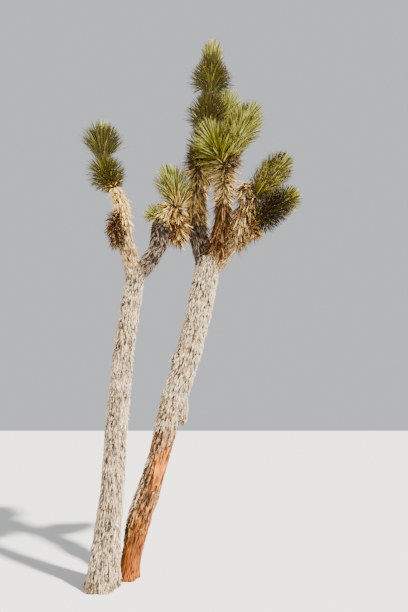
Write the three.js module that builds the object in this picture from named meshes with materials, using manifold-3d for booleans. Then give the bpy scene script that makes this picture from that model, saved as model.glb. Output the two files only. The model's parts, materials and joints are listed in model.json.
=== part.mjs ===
// Joshua tree: two stems from one root, each forked into bark-covered boughs.
// A bough ends where its column of dead, hanging leaves (the thatch) starts, and the thatch carries
// rosettes of stiff dagger leaves. Millimetres, +Z up, origin at the middle of the main stem's foot.
import * as THREE from "three";
import Module from "manifold-3d";

const wasm = await Module();
wasm.setup();

// Gap left between two pieces that touch, and how much a limb is fattened before it cuts another
const TOUCH_GAP = 0.3;
const CUT_MARGIN = 0.45;
const LEAF_MARGIN = 0.8;
const SLIVER = 0.25;

// Sides of a section, and the length of a step along a limb or a core
const STEM_SIDES = 18;
const BOUGH_SIDES = 12;
const CORE_SIDES = 8;
const STEM_STEP = 230;
const BOUGH_STEP = 110;
const CORE_STEP = 180;

// Shallow ridges of the bark, as a share of the radius, and the lobes of the flared foot
const RIDGE_DEPTH = 0.03;
const RIDGE_TWIST_LENGTH = 900;
const FOOT_LOBES = 5;
const FOOT_LOBE_DEPTH = 0.09;
const FOOT_LOBE_HEIGHT = 260;

// Leaves follow one another round their stem by the golden angle
const GOLDEN_ANGLE = Math.PI * (3 - Math.sqrt(5));
const GREEN_BLADE = { width: 36, thickness: 15, sunk: 30 };
const SMALL_BLADE = { width: 24, thickness: 12, sunk: 22 };
const DEAD_BLADE = { width: 38, thickness: 15, sunk: 26 };
const LENGTH_SPREAD = 0.08;
const ANGLE_SPREAD = THREE.MathUtils.degToRad(5);
const LEAST_OUTWARD = 0.2;
const TIP_SPREAD = 1.4;

// Length at each end of a core that carries no leaf, so that every root is inside the core
const BARE_END = 24;

// Radius of a rosette's leafy stem: one that goes on into the next rosette, and one that ends
const ROSETTE_CORE = [[0, 74], [0.35, 112], [0.75, 92], [1, 74]];
const TIP_CORE = [[0, 74], [0.4, 112], [0.75, 92], [1, 36]];

// A rosette's lowest leaves are its shortest
const LENGTH_STOPS = [[0, 0.78], [0.4, 1], [1, 1]];

const BARK = { color: 0x9b8c78, roughness: 0.95 };
const THATCH = { color: 0xb59a6c, roughness: 0.9 };
const GREEN = { color: 0x7d8240, roughness: 0.6 };

// The two stems: the middle of the stem, and its radius, at chosen heights
const STEMS = {
  trunk_main: {
    path: [[0, 0, 0], [102, 5, 520], [224, 10, 945], [344, 15, 1370], [447, 20, 1825], [598, 20, 2290], [684, 20, 2645],
      [768, 20, 3030], [880, 20, 3600]],
    radii: [[0, 128], [0.03, 108], [0.08, 108], [0.14, 130], [0.2, 136], [0.26, 128], [0.34, 123], [0.43, 130],
      [0.54, 150], [0.68, 152], [0.76, 148], [0.9, 158], [1, 152]],
  },
  trunk_second: {
    path: [[-208, -264, 0], [-160, -260, 720], [-136, -255, 1815], [-92, -250, 2585], [-8, -250, 3370]],
    radii: [[0, 172], [0.05, 156], [0.14, 134], [0.25, 120], [0.6, 113], [0.93, 108], [1, 112]],
  },
};

// The middle line of each arm of the crown, from inside its stem's head outwards
const ARMS = {
  outer: [[0, -250, 3270], [-142, -256, 3745], [-244, -270, 4180], [-348, -276, 4435], [-468, -281, 4735],
    [-525, -286, 4990], [-542, -290, 5190]],
  inner: [[0, -250, 3270], [145, -230, 3530], [230, -205, 3715], [242, -190, 3915], [262, -180, 4075],
    [345, -165, 4180], [480, -155, 4215]],
  inner_up: [[460, -155, 4170], [412, -165, 4430], [340, -180, 4635]],
  inner_side: [[262, -185, 4065], [222, -250, 4065], [184, -325, 4055], [164, -362, 4050]],
  inner_hanging: [[440, -150, 4190], [464, -140, 4060], [468, -135, 3925]],
  outer_dead: [[-200, -262, 4150], [-270, -300, 3990], [-305, -325, 3800]],
  spire: [[850, 20, 3440], [750, 60, 4035], [720, 70, 4490], [745, 80, 4965], [855, 90, 5635],
    [915, 95, 6525], [935, 95, 7050]],
  front: [[905, 15, 3440], [1000, -55, 3770], [1048, -100, 4030], [1068, -150, 4375], [1082, -185, 4635],
    [1094, -215, 4830]],
  front_left: [[1088, -208, 4770], [1000, -275, 4985], [920, -340, 5140]],
  front_right: [[1092, -208, 4770], [1230, -258, 5190], [1400, -300, 5500]],
  right: [[885, 20, 3440], [1052, 0, 3640], [1195, -25, 3865], [1297, -45, 4105], [1388, -60, 4340],
    [1485, -70, 4475]],
  right_dead: [[1355, -50, 4110], [1480, -45, 4040], [1545, -45, 3905]],
  right_up: [[1452, -66, 4400], [1660, -95, 4695], [1850, -115, 4920]],
  right_low: [[1360, -50, 4140], [1525, -20, 4215], [1700, 40, 4350], [1865, 100, 4490], [2005, 140, 4595]],
  stub: [[470, 0, 1990], [545, -15, 1800], [566, -22, 1565]],
  back: [[850, 30, 3440], [810, 190, 3950], [755, 320, 4400], [765, 400, 4845], [870, 450, 5300],
    [1025, 480, 5840], [1195, 490, 6350]],
};

// Boughs: how far each runs along its arm, and its radius from end to end. The stub is all that is
// left of a limb that broke away halfway up the main stem.
const BOUGHS = {
  stub_main: { arm: "stub", to: 435, radii: [[0, 70], [0.45, 72], [0.9, 58], [1, 40]] },
  bough_outer: { arm: "outer", to: 640, radii: [[0, 98], [0.35, 96], [0.8, 92], [1, 96]] },
  bough_inner: { arm: "inner", to: 800, radii: [[0, 90], [0.4, 96], [0.75, 108], [1, 106]] },
  bough_spire: { arm: "spire", to: 610, radii: [[0, 122], [0.5, 118], [1, 114]] },
  bough_front: { arm: "front", to: 250, radii: [[0, 70], [0.5, 98], [1, 100]] },
  bough_right: { arm: "right", to: 520, radii: [[0, 104], [0.6, 100], [1, 98]] },
  bough_back: { arm: "back", to: 640, radii: [[0, 104], [0.6, 98], [1, 94]] },
};

// Thatch: dead leaves laid down over a column. lean is the angle of a leaf from the way the arm
// grows, hang is how far gravity turns it, and radii are the column's own from its foot to its top.
const THATCHES = {
  thatch_outer: {
    arm: "outer", from: 640, to: 1185, radii: [[0, 92], [0.4, 104], [0.8, 96], [1, 58]],
    leaves: 38, leaf: 220, lean: 163, hang: 0.25,
  },
  tuft_outer_dead: {
    arm: "outer_dead", from: 90, to: 350, radii: [[0, 34], [0.5, 46], [1, 24]],
    leaves: 24, leaf: 185, lean: 62, hang: 0.3,
  },
  thatch_inner: {
    arm: "inner", from: 800, to: 1140, radii: [[0, 108], [0.5, 112], [1, 84]],
    leaves: 34, leaf: 230, lean: 140, hang: 0.6,
  },
  tuft_inner_hanging: {
    arm: "inner_hanging", from: 90, to: 265, radii: [[0, 66], [0.6, 82], [1, 42]],
    leaves: 32, leaf: 225, lean: 48, hang: 0.35,
  },
  thatch_spire: {
    arm: "spire", from: 610, to: 1540, radii: [[0, 116], [0.35, 128], [0.75, 108], [1, 64]],
    leaves: 56, leaf: 260, lean: 166, hang: 0.2,
  },
  thatch_front_low: {
    arm: "front", from: 250, to: 950, radii: [[0, 118], [0.45, 102], [1, 50]],
    leaves: 44, leaf: 320, lean: 166, hang: 0.12,
  },
  thatch_front_high: {
    arm: "front", from: 950, to: 1420, radii: [[0, 52], [0.4, 82], [1, 74]],
    leaves: 42, leaf: 230, lean: 142, hang: 0.12,
  },
  thatch_right: {
    arm: "right", from: 520, to: 1200, radii: [[0, 108], [0.45, 146], [0.85, 132], [1, 84]],
    leaves: 54, leaf: 255, lean: 150, hang: 0.5,
  },
  tuft_right_dead: {
    arm: "right_dead", from: 120, to: 270, radii: [[0, 48], [0.5, 58], [1, 26]],
    leaves: 22, leaf: 190, lean: 58, hang: 0.35,
  },
  thatch_back: {
    arm: "back", from: 640, to: 1800, radii: [[0, 100], [0.4, 110], [1, 62]],
    leaves: 46, leaf: 260, lean: 165, hang: 0.2,
  },
};

// Rosettes: leaves turn from low, the lean of the lowest ones, to high, that of the ones at the tip.
// ends marks the last rosette of an arm, whose stem closes over its growing tip.
const ROSETTES = {
  rosette_outer_low: { arm: "outer", from: 1185, to: 1600, leaves: 40, leaf: 222, low: 100, high: 40 },
  rosette_outer_top: { arm: "outer", from: 1600, to: 2000, leaves: 46, leaf: 275, low: 88, high: 4, ends: true },
  rosette_inner_up: { arm: "inner_up", from: 100, to: 470, leaves: 42, leaf: 230, low: 88, high: 5, ends: true },
  rosette_inner_side: {
    arm: "inner_side", from: 100, to: 215, leaves: 15, leaf: 120, low: 88, high: 10, slim: 0.55, ends: true,
    blade: SMALL_BLADE,
  },
  rosette_spire_low: { arm: "spire", from: 1540, to: 2180, leaves: 44, leaf: 240, low: 114, high: 30 },
  rosette_spire_middle: { arm: "spire", from: 2180, to: 2830, leaves: 46, leaf: 255, low: 96, high: 26 },
  rosette_spire_high: { arm: "spire", from: 2830, to: 3370, leaves: 42, leaf: 255, low: 94, high: 20 },
  rosette_spire_top: {
    arm: "spire", from: 3370, to: 3630, leaves: 26, leaf: 290, low: 38, high: 3, slim: 0.6, ends: true,
  },
  rosette_front_left: { arm: "front_left", from: 80, to: 430, leaves: 44, leaf: 275, low: 98, high: 5, ends: true },
  rosette_front_right: {
    arm: "front_right", from: 80, to: 790, leaves: 50, leaf: 275, low: 74, high: 5, ends: true,
  },
  rosette_right_up: { arm: "right_up", from: 100, to: 650, leaves: 46, leaf: 270, low: 78, high: 5, ends: true },
  rosette_right_low: { arm: "right_low", from: 170, to: 560, leaves: 38, leaf: 225, low: 105, high: 38 },
  rosette_right_out: {
    arm: "right_low", from: 560, to: 790, leaves: 30, leaf: 205, low: 90, high: 6, slim: 0.75, ends: true,
  },
  rosette_back_low: { arm: "back", from: 1800, to: 2400, leaves: 42, leaf: 250, low: 110, high: 34 },
  rosette_back_top: { arm: "back", from: 2400, to: 3025, leaves: 46, leaf: 260, low: 92, high: 5, ends: true },
};

const radians = THREE.MathUtils.degToRad;
const UP = new THREE.Vector3(0, 0, 1);
const AWAY = new THREE.Vector3(0, 1, 0);

// The middle line of a limb, read by length from its start, with a steady frame across it.
class MiddleLine {
  constructor(points) {
    this.curve = new THREE.CatmullRomCurve3(points.map((p) => new THREE.Vector3(...p)));
    this.curve.arcLengthDivisions = 300;
    this.length = this.curve.getLength();
  }

  at(distance) {
    const share = THREE.MathUtils.clamp(distance / this.length, 0, 1);
    const centre = this.curve.getPointAt(share);
    const along = this.curve.getTangentAt(share);
    const side = new THREE.Vector3().crossVectors(AWAY, along).normalize();
    const front = new THREE.Vector3().crossVectors(along, side);
    return { centre, along, side, front };
  }
}

// A value read from a short list of [share, value] stops, eased from one stop to the next.
function readStops(stops, share) {
  const next = stops.findIndex((stop) => stop[0] >= share);
  if (next < 0) return stops.at(-1)[1];
  if (next === 0) return stops[0][1];
  const [fromShare, fromValue] = stops[next - 1];
  const [toShare, toValue] = stops[next];
  return THREE.MathUtils.lerp(fromValue, toValue, (share - fromShare) / (toShare - fromShare));
}

// A repeatable row of numbers between 0 and 1.
function seededNumbers(text) {
  let state = 2166136261;
  for (const letter of text) state = Math.imul(state ^ letter.charCodeAt(0), 16777619) >>> 0;
  return () => {
    state = (Math.imul(state, 1664525) + 1013904223) >>> 0;
    return state / 4294967296;
  };
}

function solidFrom(points, faces) {
  const vertProperties = new Float32Array(points.flatMap((p) => [p.x, p.y, p.z]));
  const triVerts = new Uint32Array(faces.flat());
  return new wasm.Manifold(new wasm.Mesh({ numProp: 3, vertProperties, triVerts }));
}

// A closed skin over rings of points that all turn the same way round.
function skinOver(rings) {
  const sides = rings[0].length;
  const middleOf = (ring) => ring.reduce((sum, p) => sum.add(p), new THREE.Vector3()).divideScalar(sides);
  const points = [...rings.flat(), middleOf(rings[0]), middleOf(rings.at(-1))];
  const footPoint = points.length - 2;
  const headPoint = points.length - 1;
  const lastRing = (rings.length - 1) * sides;
  const faces = [];
  for (let side = 0; side < sides; side += 1) {
    const next = (side + 1) % sides;
    for (let ring = 0; ring < rings.length - 1; ring += 1) {
      const low = ring * sides;
      const high = low + sides;
      faces.push([low + side, low + next, high + next], [low + side, high + next, high + side]);
    }
    faces.push([footPoint, next, side], [headPoint, lastRing + side, lastRing + next]);
  }
  return solidFrom(points, faces);
}

// The round section of a limb or core, with the bark's shallow ridges where ridges is above 0.
function sectionRing(frame, radius, sides, ridges, twist) {
  return Array.from({ length: sides }, (_, side) => {
    const angle = (2 * Math.PI * side) / sides;
    const ridge = Math.sin(3 * angle + twist) + 0.5 * Math.sin(5 * angle - 2 * twist);
    const reach = radius * (1 + ridges * ridge);
    return frame.centre
      .clone()
      .addScaledVector(frame.side, reach * Math.cos(angle))
      .addScaledVector(frame.front, reach * Math.sin(angle));
  });
}

// A stem has level sections, so its foot is one flat cut at ground level.
function buildStem(stem, margin) {
  const line = new MiddleLine(stem.path);
  const steps = Math.ceil(line.length / STEM_STEP);
  const shares = [0, 0.02, 0.045, ...Array.from({ length: steps }, (_, step) => (step + 1) / steps)];
  const rings = shares.map((share) => {
    const distance = share * line.length;
    const centre = line.at(distance).centre;
    if (share === 1) centre.z += margin;
    const frame = { centre, side: new THREE.Vector3(1, 0, 0), front: AWAY };
    const radius = readStops(stem.radii, share) + margin;
    const fading = Math.max(0, 1 - centre.z / FOOT_LOBE_HEIGHT);
    const twist = (2 * Math.PI * distance) / RIDGE_TWIST_LENGTH;
    const ring = sectionRing(frame, radius, STEM_SIDES, RIDGE_DEPTH, twist);
    ring.forEach((point, side) => {
      const lobe = 1 + FOOT_LOBE_DEPTH * fading * Math.sin((2 * Math.PI * FOOT_LOBES * side) / STEM_SIDES);
      point.sub(centre).multiplyScalar(lobe).add(centre);
    });
    return ring;
  });
  return skinOver(rings);
}

// A bough, or the core of a mass: sections square to the arm between two distances along it.
function buildRun(run, sides, step, ridges, margin) {
  const line = new MiddleLine(ARMS[run.arm]);
  const from = run.from ?? 0;
  const count = Math.max(3, Math.ceil((run.to - from) / step));
  const rings = [];
  for (let index = 0; index <= count; index += 1) {
    const share = index / count;
    const distance = THREE.MathUtils.lerp(from, run.to, share);
    const frame = line.at(distance);
    if (index === 0) frame.centre.addScaledVector(frame.along, TOUCH_GAP - margin);
    if (index === count) frame.centre.addScaledVector(frame.along, margin);
    const radius = readStops(run.radii, share) + margin;
    rings.push(sectionRing(frame, radius, sides, ridges, (2 * Math.PI * distance) / RIDGE_TWIST_LENGTH));
  }
  return skinOver(rings);
}

function largestBody(solid) {
  const bodies = solid.decompose();
  return bodies.reduce((best, body) => (body.volume() > best.volume() ? body : best));
}

// One leaf: a three-sided dagger with a flat upper face and a keel under it.
function leafSolid(leaf, blade, margin) {
  const across = new THREE.Vector3().crossVectors(leaf.along, leaf.way).normalize();
  const keel = new THREE.Vector3().crossVectors(leaf.way, across).normalize();
  const half = blade.width / 2 + margin;
  const root = leaf.root.clone().addScaledVector(keel, -margin);
  const points = [
    root.clone().addScaledVector(across, half),
    root.clone().addScaledVector(across, -half),
    root.clone().addScaledVector(keel, blade.thickness + 2 * margin),
    root.clone().addScaledVector(leaf.way, leaf.length + margin),
  ];
  const [left, right, under, tip] = points;
  const spread = right.clone().sub(left).cross(under.clone().sub(left));
  const inward = spread.dot(tip.clone().sub(left)) > 0;
  const faces = [[0, 2, 1], [0, 1, 3], [1, 2, 3], [2, 0, 3]];
  return solidFrom(points, inward ? faces : faces.map((face) => face.toReversed()));
}

// Where each leaf of a mass starts and which way it points: lean turns from the lowest leaf's to
// the highest one's, and hang, for dead leaves, draws the leaf down.
function leavesOf(name, mass, blade) {
  const line = new MiddleLine(ARMS[mass.arm]);
  const number = seededNumbers(name);
  const low = radians(mass.low ?? mass.lean);
  const high = radians(mass.high ?? mass.lean);
  return Array.from({ length: mass.leaves }, (_, index) => {
    const share = (index + 0.5) / mass.leaves;
    const frame = line.at(THREE.MathUtils.lerp(mass.from + BARE_END, mass.to - BARE_END, share));
    const angle = index * GOLDEN_ANGLE;
    const outward = frame.side.clone().multiplyScalar(Math.cos(angle));
    outward.addScaledVector(frame.front, Math.sin(angle));
    const turned = mass.ends ? share ** TIP_SPREAD : share;
    const lean = THREE.MathUtils.lerp(low, high, turned) + ANGLE_SPREAD * (2 * number() - 1);
    const way = frame.along.clone().multiplyScalar(Math.cos(lean)).addScaledVector(outward, Math.sin(lean));
    if (mass.hang) {
      way.multiplyScalar(1 - mass.hang).addScaledVector(UP, -mass.hang).normalize();
      const short = LEAST_OUTWARD - way.dot(outward);
      if (short > 0) way.addScaledVector(outward, short).normalize();
    }
    const reach = Math.max(readStops(mass.radii, share) - blade.sunk, 5);
    return {
      root: frame.centre.clone().addScaledVector(outward, reach),
      along: frame.along,
      way,
      length: mass.leaf * readStops(mass.lengths, share) * (1 - LENGTH_SPREAD * number()) + blade.sunk,
    };
  });
}

function boxesMeet(one, other) {
  return [0, 1, 2].every((axis) => one.min[axis] <= other.max[axis] && other.min[axis] <= one.max[axis]);
}

function touches(solid, others) {
  const box = solid.boundingBox();
  return others.some((other) => boxesMeet(box, other.boundingBox()) && !solid.intersect(other).isEmpty());
}

// A leaf that would touch another piece, or reach below the ground, is skipped.
function withLeaves(name, mass, blade, core, others) {
  let solid = core;
  for (const leaf of leavesOf(name, mass, blade)) {
    if (!touches(leafSolid(leaf, blade, LEAF_MARGIN), others)) {
      solid = solid.add(leafSolid(leaf, blade, 0));
    }
  }
  return largestBody(solid.simplify(SLIVER));
}

function meshOf(name, solid, finish) {
  const made = solid.getMesh();
  const geometry = new THREE.BufferGeometry();
  geometry.setAttribute("position", new THREE.BufferAttribute(made.vertProperties, 3));
  geometry.setIndex(new THREE.BufferAttribute(made.triVerts, 1));
  geometry.computeVertexNormals();
  const mesh = new THREE.Mesh(geometry, new THREE.MeshStandardMaterial({ metalness: 0, ...finish }));
  mesh.name = name;
  return mesh;
}

// Limbs first: each is cut clear of the limbs made before it, which are fattened for the cut
const limbs = new Map();
const fattened = [];
const limbBuilders = [
  ...Object.entries(STEMS).map(([name, stem]) => [name, (margin) => buildStem(stem, margin)]),
  ...Object.entries(BOUGHS).map(([name, bough]) => [
    name,
    (margin) => buildRun(bough, BOUGH_SIDES, BOUGH_STEP, RIDGE_DEPTH, margin),
  ]),
];
for (const [name, build] of limbBuilders) {
  const cut = fattened.reduce((solid, other) => solid.subtract(other), build(0));
  limbs.set(name, largestBody(cut));
  fattened.push(build(CUT_MARGIN));
}

// Then the cores of the masses, cut clear of the limbs and of one another in the same way
const masses = [
  ...Object.entries(THATCHES).map(([name, mass]) => ({
    name,
    ...mass,
    lengths: [[0, 1]],
    blade: DEAD_BLADE,
    finish: THATCH,
  })),
  ...Object.entries(ROSETTES).map(([name, mass]) => ({
    name,
    blade: GREEN_BLADE,
    ...mass,
    radii: (mass.ends ? TIP_CORE : ROSETTE_CORE).map(([share, radius]) => [share, radius * (mass.slim ?? 1)]),
    lengths: LENGTH_STOPS,
    finish: GREEN,
  })),
];
for (const mass of masses) {
  const build = (margin) => buildRun(mass, CORE_SIDES, CORE_STEP, 0, margin);
  mass.core = largestBody(fattened.reduce((solid, other) => solid.subtract(other), build(0)));
  fattened.push(build(CUT_MARGIN));
}

// Last the leaves, mass by mass, kept clear of every other piece
const tree = new THREE.Group();
for (const [name, solid] of limbs) {
  tree.add(meshOf(name, solid, BARK));
}
for (const mass of masses) {
  const others = [...limbs.values(), ...masses.filter((other) => other !== mass).map((other) => other.core)];
  mass.core = withLeaves(mass.name, mass, mass.blade, mass.core, others);
  tree.add(meshOf(mass.name, mass.core, mass.finish));
}

export default tree;
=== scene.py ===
"""Joshua tree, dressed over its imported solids: flaking bark, skirts of dead leaves and green rosettes.

Sizes are in metres in the part's own frame: +Z up, +X to the right and +Y away from the viewer, with the
origin at the middle of the main stem's foot. Angles are in degrees where a name says so.
"""
import json
import logging
import math
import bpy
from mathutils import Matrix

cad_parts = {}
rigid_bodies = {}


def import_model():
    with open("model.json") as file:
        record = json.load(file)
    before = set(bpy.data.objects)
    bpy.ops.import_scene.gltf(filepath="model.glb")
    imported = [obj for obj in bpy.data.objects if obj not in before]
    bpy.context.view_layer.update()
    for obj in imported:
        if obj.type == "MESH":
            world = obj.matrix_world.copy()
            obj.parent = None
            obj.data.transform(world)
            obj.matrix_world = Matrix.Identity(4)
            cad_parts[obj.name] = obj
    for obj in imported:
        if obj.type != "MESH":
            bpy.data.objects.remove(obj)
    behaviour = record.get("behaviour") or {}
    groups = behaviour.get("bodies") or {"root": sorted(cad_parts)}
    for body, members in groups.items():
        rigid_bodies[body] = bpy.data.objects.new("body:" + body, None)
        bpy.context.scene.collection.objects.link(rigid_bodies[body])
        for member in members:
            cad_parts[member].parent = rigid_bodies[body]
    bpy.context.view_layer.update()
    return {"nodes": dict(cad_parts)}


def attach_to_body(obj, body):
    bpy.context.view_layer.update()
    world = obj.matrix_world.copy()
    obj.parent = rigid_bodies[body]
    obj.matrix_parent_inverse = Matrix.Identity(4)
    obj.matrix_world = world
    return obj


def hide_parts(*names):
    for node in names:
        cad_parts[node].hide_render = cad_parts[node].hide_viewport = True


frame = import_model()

import zlib
from collections.abc import Sequence
from dataclasses import dataclass, field
from enum import Enum
from typing import Any, NamedTuple

import bpy
import numpy as np
from mathutils import Vector, noise
from mathutils.bvhtree import BVHTree

LOG = logging.getLogger("joshua_tree")

Point = tuple[float, float, float]
Stops = Sequence[tuple[float, float]]
Colour = tuple[float, float, float, float]
Socket = bpy.types.NodeSocket

BODY = "root"

GOLDEN_ANGLE = math.pi * (3 - math.sqrt(5))
RIGHT = np.array([1.0, 0.0, 0.0])
AWAY = np.array([0.0, 1.0, 0.0])
UP = np.array([0.0, 0.0, 1.0])

# Shallow ridges that twist round a limb, with their depth as a share of its radius, and a stem's foot lobes
RIDGES = 3
FINER_RIDGES = 5
RIDGE_DEPTH = 0.03
RIDGE_TWIST_LENGTH = 0.9
FOOT_LOBES = 5
FOOT_LOBE_DEPTH = 0.09
FOOT_LOBE_HEIGHT = 0.26

# A limb's skin: spacing of its points round the limb and along it, and how few there may be
SKIN_ROUND = 0.0047
SKIN_ALONG = 0.0085
FEWEST_SIDES = 24
FEWEST_RINGS = 12


def srgb(red: int, green: int, blue: int) -> Colour:
    """Turns a colour as a screen shows it, 0 to 255, into the linear values that a shader takes."""
    linear = [(value / 255) ** 2.2 for value in (red, green, blue)]
    return (linear[0], linear[1], linear[2], 1.0)


def grey(value: float) -> Colour:
    """Gives a slightly warm grey of a linear brightness."""
    return (value, value * 0.97, value * 0.93, 1.0)


def seeded(name: str) -> np.random.Generator:
    """Makes a repeatable row of random numbers for one named piece."""
    return np.random.default_rng(zlib.crc32(name.encode()))


def read_stops(stops: Stops, shares: np.ndarray) -> np.ndarray:
    """Reads values between a few (share, value) stops, which are in rising order of share."""
    return np.interp(shares, [stop[0] for stop in stops], [stop[1] for stop in stops])


def unit(vectors: np.ndarray) -> np.ndarray:
    """Scales each row of an array of vectors to length one."""
    return vectors / np.maximum(np.linalg.norm(vectors, axis=-1, keepdims=True), 1e-9)


def tube_faces(rings: int, sides: int) -> list[list[int]]:
    """Joins the neighbouring rings of a tube.

    Args:
        rings: How many rings there are.
        sides: How many points each ring has.

    Returns:
        The four-sided faces.
    """
    low = np.arange((rings - 1) * sides)
    high = low // sides * sides + (low + 1) % sides
    return np.stack([low, high, high + sides, low + sides], 1).tolist()


def new_mesh(name: str, points: Sequence[Any], faces: Sequence[Any]) -> bpy.types.Mesh:
    """Makes a mesh.

    Args:
        name: Its name.
        points: Its points.
        faces: Its faces, as numbers of points.

    Returns:
        The mesh.
    """
    mesh = bpy.data.meshes.new(name)
    mesh.from_pydata(points, [], faces)
    return mesh


def new_object(name: str, data: Any) -> bpy.types.Object:
    """Puts an object in the scene.

    Args:
        name: Its name.
        data: Its mesh, camera or lamp.

    Returns:
        The object.
    """
    piece = bpy.data.objects.new(name, data)
    bpy.context.scene.collection.objects.link(piece)
    return piece


def store(mesh: bpy.types.Mesh, name: str, values: np.ndarray) -> None:
    """Stores an attribute on a mesh's points.

    Args:
        mesh: The mesh.
        name: The attribute's name.
        values: One number or one vector for each point. Whole numbers stay whole.
    """
    kind, key = ("FLOAT", "value") if values.ndim == 1 else ("FLOAT_VECTOR", "vector")
    exact = np.float32
    if values.dtype.kind == "i":
        kind, exact = "INT", np.int32
    mesh.attributes.new(name, kind, "POINT").data.foreach_set(key, values.astype(exact).ravel())


class Places(NamedTuple):
    """Spots along a middle line, one row each: where they are and a steady frame across the line."""

    centre: np.ndarray
    along: np.ndarray
    side: np.ndarray
    front: np.ndarray

    def outward(self, angles: np.ndarray) -> np.ndarray:
        """Gives the way out of the line at each angle: spot by angle by axis."""
        return (self.side[:, None] * np.cos(angles)[None, :, None]
                + self.front[:, None] * np.sin(angles)[None, :, None])


class MiddleLine:
    """The smooth line through a limb's middle, read by length from its start."""

    TABLE_STEPS = 300
    NUDGE = 1e-4

    def __init__(self, points: Sequence[Point]) -> None:
        """Fits the line through its points and measures it.

        Args:
            points: The points that the line passes through.
        """
        given = np.array(points, float)
        self._padded = np.vstack([2 * given[0] - given[1], given, 2 * given[-1] - given[-2]])
        self._spans = len(given) - 1
        self._shares = np.linspace(0, 1, self.TABLE_STEPS + 1)
        steps = np.diff(self._curve(self._shares), axis=0)
        self._travelled = np.concatenate([[0.0], np.cumsum(np.linalg.norm(steps, axis=1))])
        self.length = float(self._travelled[-1])

    def _curve(self, shares: np.ndarray) -> np.ndarray:
        """Reads the centripetal Catmull-Rom curve.

        Args:
            shares: Shares of the curve's own parameter, 0 to 1.

        Returns:
            One point for each share.
        """
        spot = np.clip(shares, 0, 1) * self._spans
        span = np.minimum(spot.astype(int), self._spans - 1)
        part = (spot - span)[:, None]
        before, start, stop, after = (self._padded[span + offset] for offset in range(4))
        first, middle, last = (np.sqrt(np.linalg.norm(b - a, axis=1, keepdims=True))
                               for a, b in ((before, start), (start, stop), (stop, after)))
        leaving = (start - before) / first - (stop - before) / (first + middle) + (stop - start) / middle
        reaching = (stop - start) / middle - (after - start) / (middle + last) + (after - stop) / last
        leaving = leaving * middle
        reaching = reaching * middle
        square = -3 * start + 3 * stop - 2 * leaving - reaching
        cube = 2 * start - 2 * stop + leaving + reaching
        return start + part * (leaving + part * (square + part * cube))

    def at(self, distances: np.ndarray) -> Places:
        """Reads places along the line.

        Args:
            distances: Lengths from the line's start.

        Returns:
            The places.
        """
        shares = np.interp(distances, self._travelled, self._shares)
        centre = self._curve(shares)
        along = unit(self._curve(shares + self.NUDGE) - self._curve(shares - self.NUDGE))
        side = unit(np.cross(AWAY, along))
        return Places(centre, along, side, np.cross(along, side))


class Nodes:
    """A node tree under construction, with short calls to add and join its nodes."""

    def __init__(self, tree: bpy.types.NodeTree) -> None:
        """Takes the tree that the nodes go into."""
        self.tree = tree

    def add(self, kind: str, settings: dict[str, Any] | None = None, **values: Any) -> bpy.types.Node:
        """Adds a node, sets its options, and joins or sets its inputs.

        Args:
            kind: The node's type.
            settings: Options of the node itself.
            **values: Input names, with _ for a space, and the socket or value that each takes.

        Returns:
            The node.
        """
        node = self.tree.nodes.new(kind)
        for option, value in (settings or {}).items():
            setattr(node, option, value)
        for label, value in values.items():
            self.join(value, self.socket(node.inputs, label.replace("_", " ")))
        return node

    def join(self, value: Any, socket: Socket) -> None:
        """Links a socket to another one, or sets its value.

        Args:
            value: The other socket, or the value.
            socket: The socket that takes it.
        """
        if isinstance(value, Socket):
            self.tree.links.new(value, socket)
        else:
            socket.default_value = value

    @staticmethod
    def socket(sockets: Any, label: str) -> Socket:
        """Finds a socket.

        Args:
            sockets: A node's inputs or outputs.
            label: The name of one that is in use, or a number.

        Returns:
            The socket.
        """
        if label.isdigit():
            return sockets[int(label)]
        return next(s for s in sockets if s.enabled and s.name == label)

    def out(self, node: bpy.types.Node, label: str) -> Socket:
        """Gives a node's output by its name."""
        return self.socket(node.outputs, label)

    def part(self, vector: Socket, axis: int) -> Socket:
        """Gives one number of a vector or a colour."""
        return self.add("ShaderNodeSeparateXYZ", None, Vector=vector).outputs[axis]

    def speckle(self, place: Socket, scale: float, detail: float = 3.0, output: str = "Fac") -> Socket:
        """Adds cloudy noise about 0.5, with so many spots in a unit: "Fac" is a number and "Color" three."""
        node = self.add("ShaderNodeTexNoise", None, Vector=place, Scale=scale, Detail=detail)
        return self.out(node, output)


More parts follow.
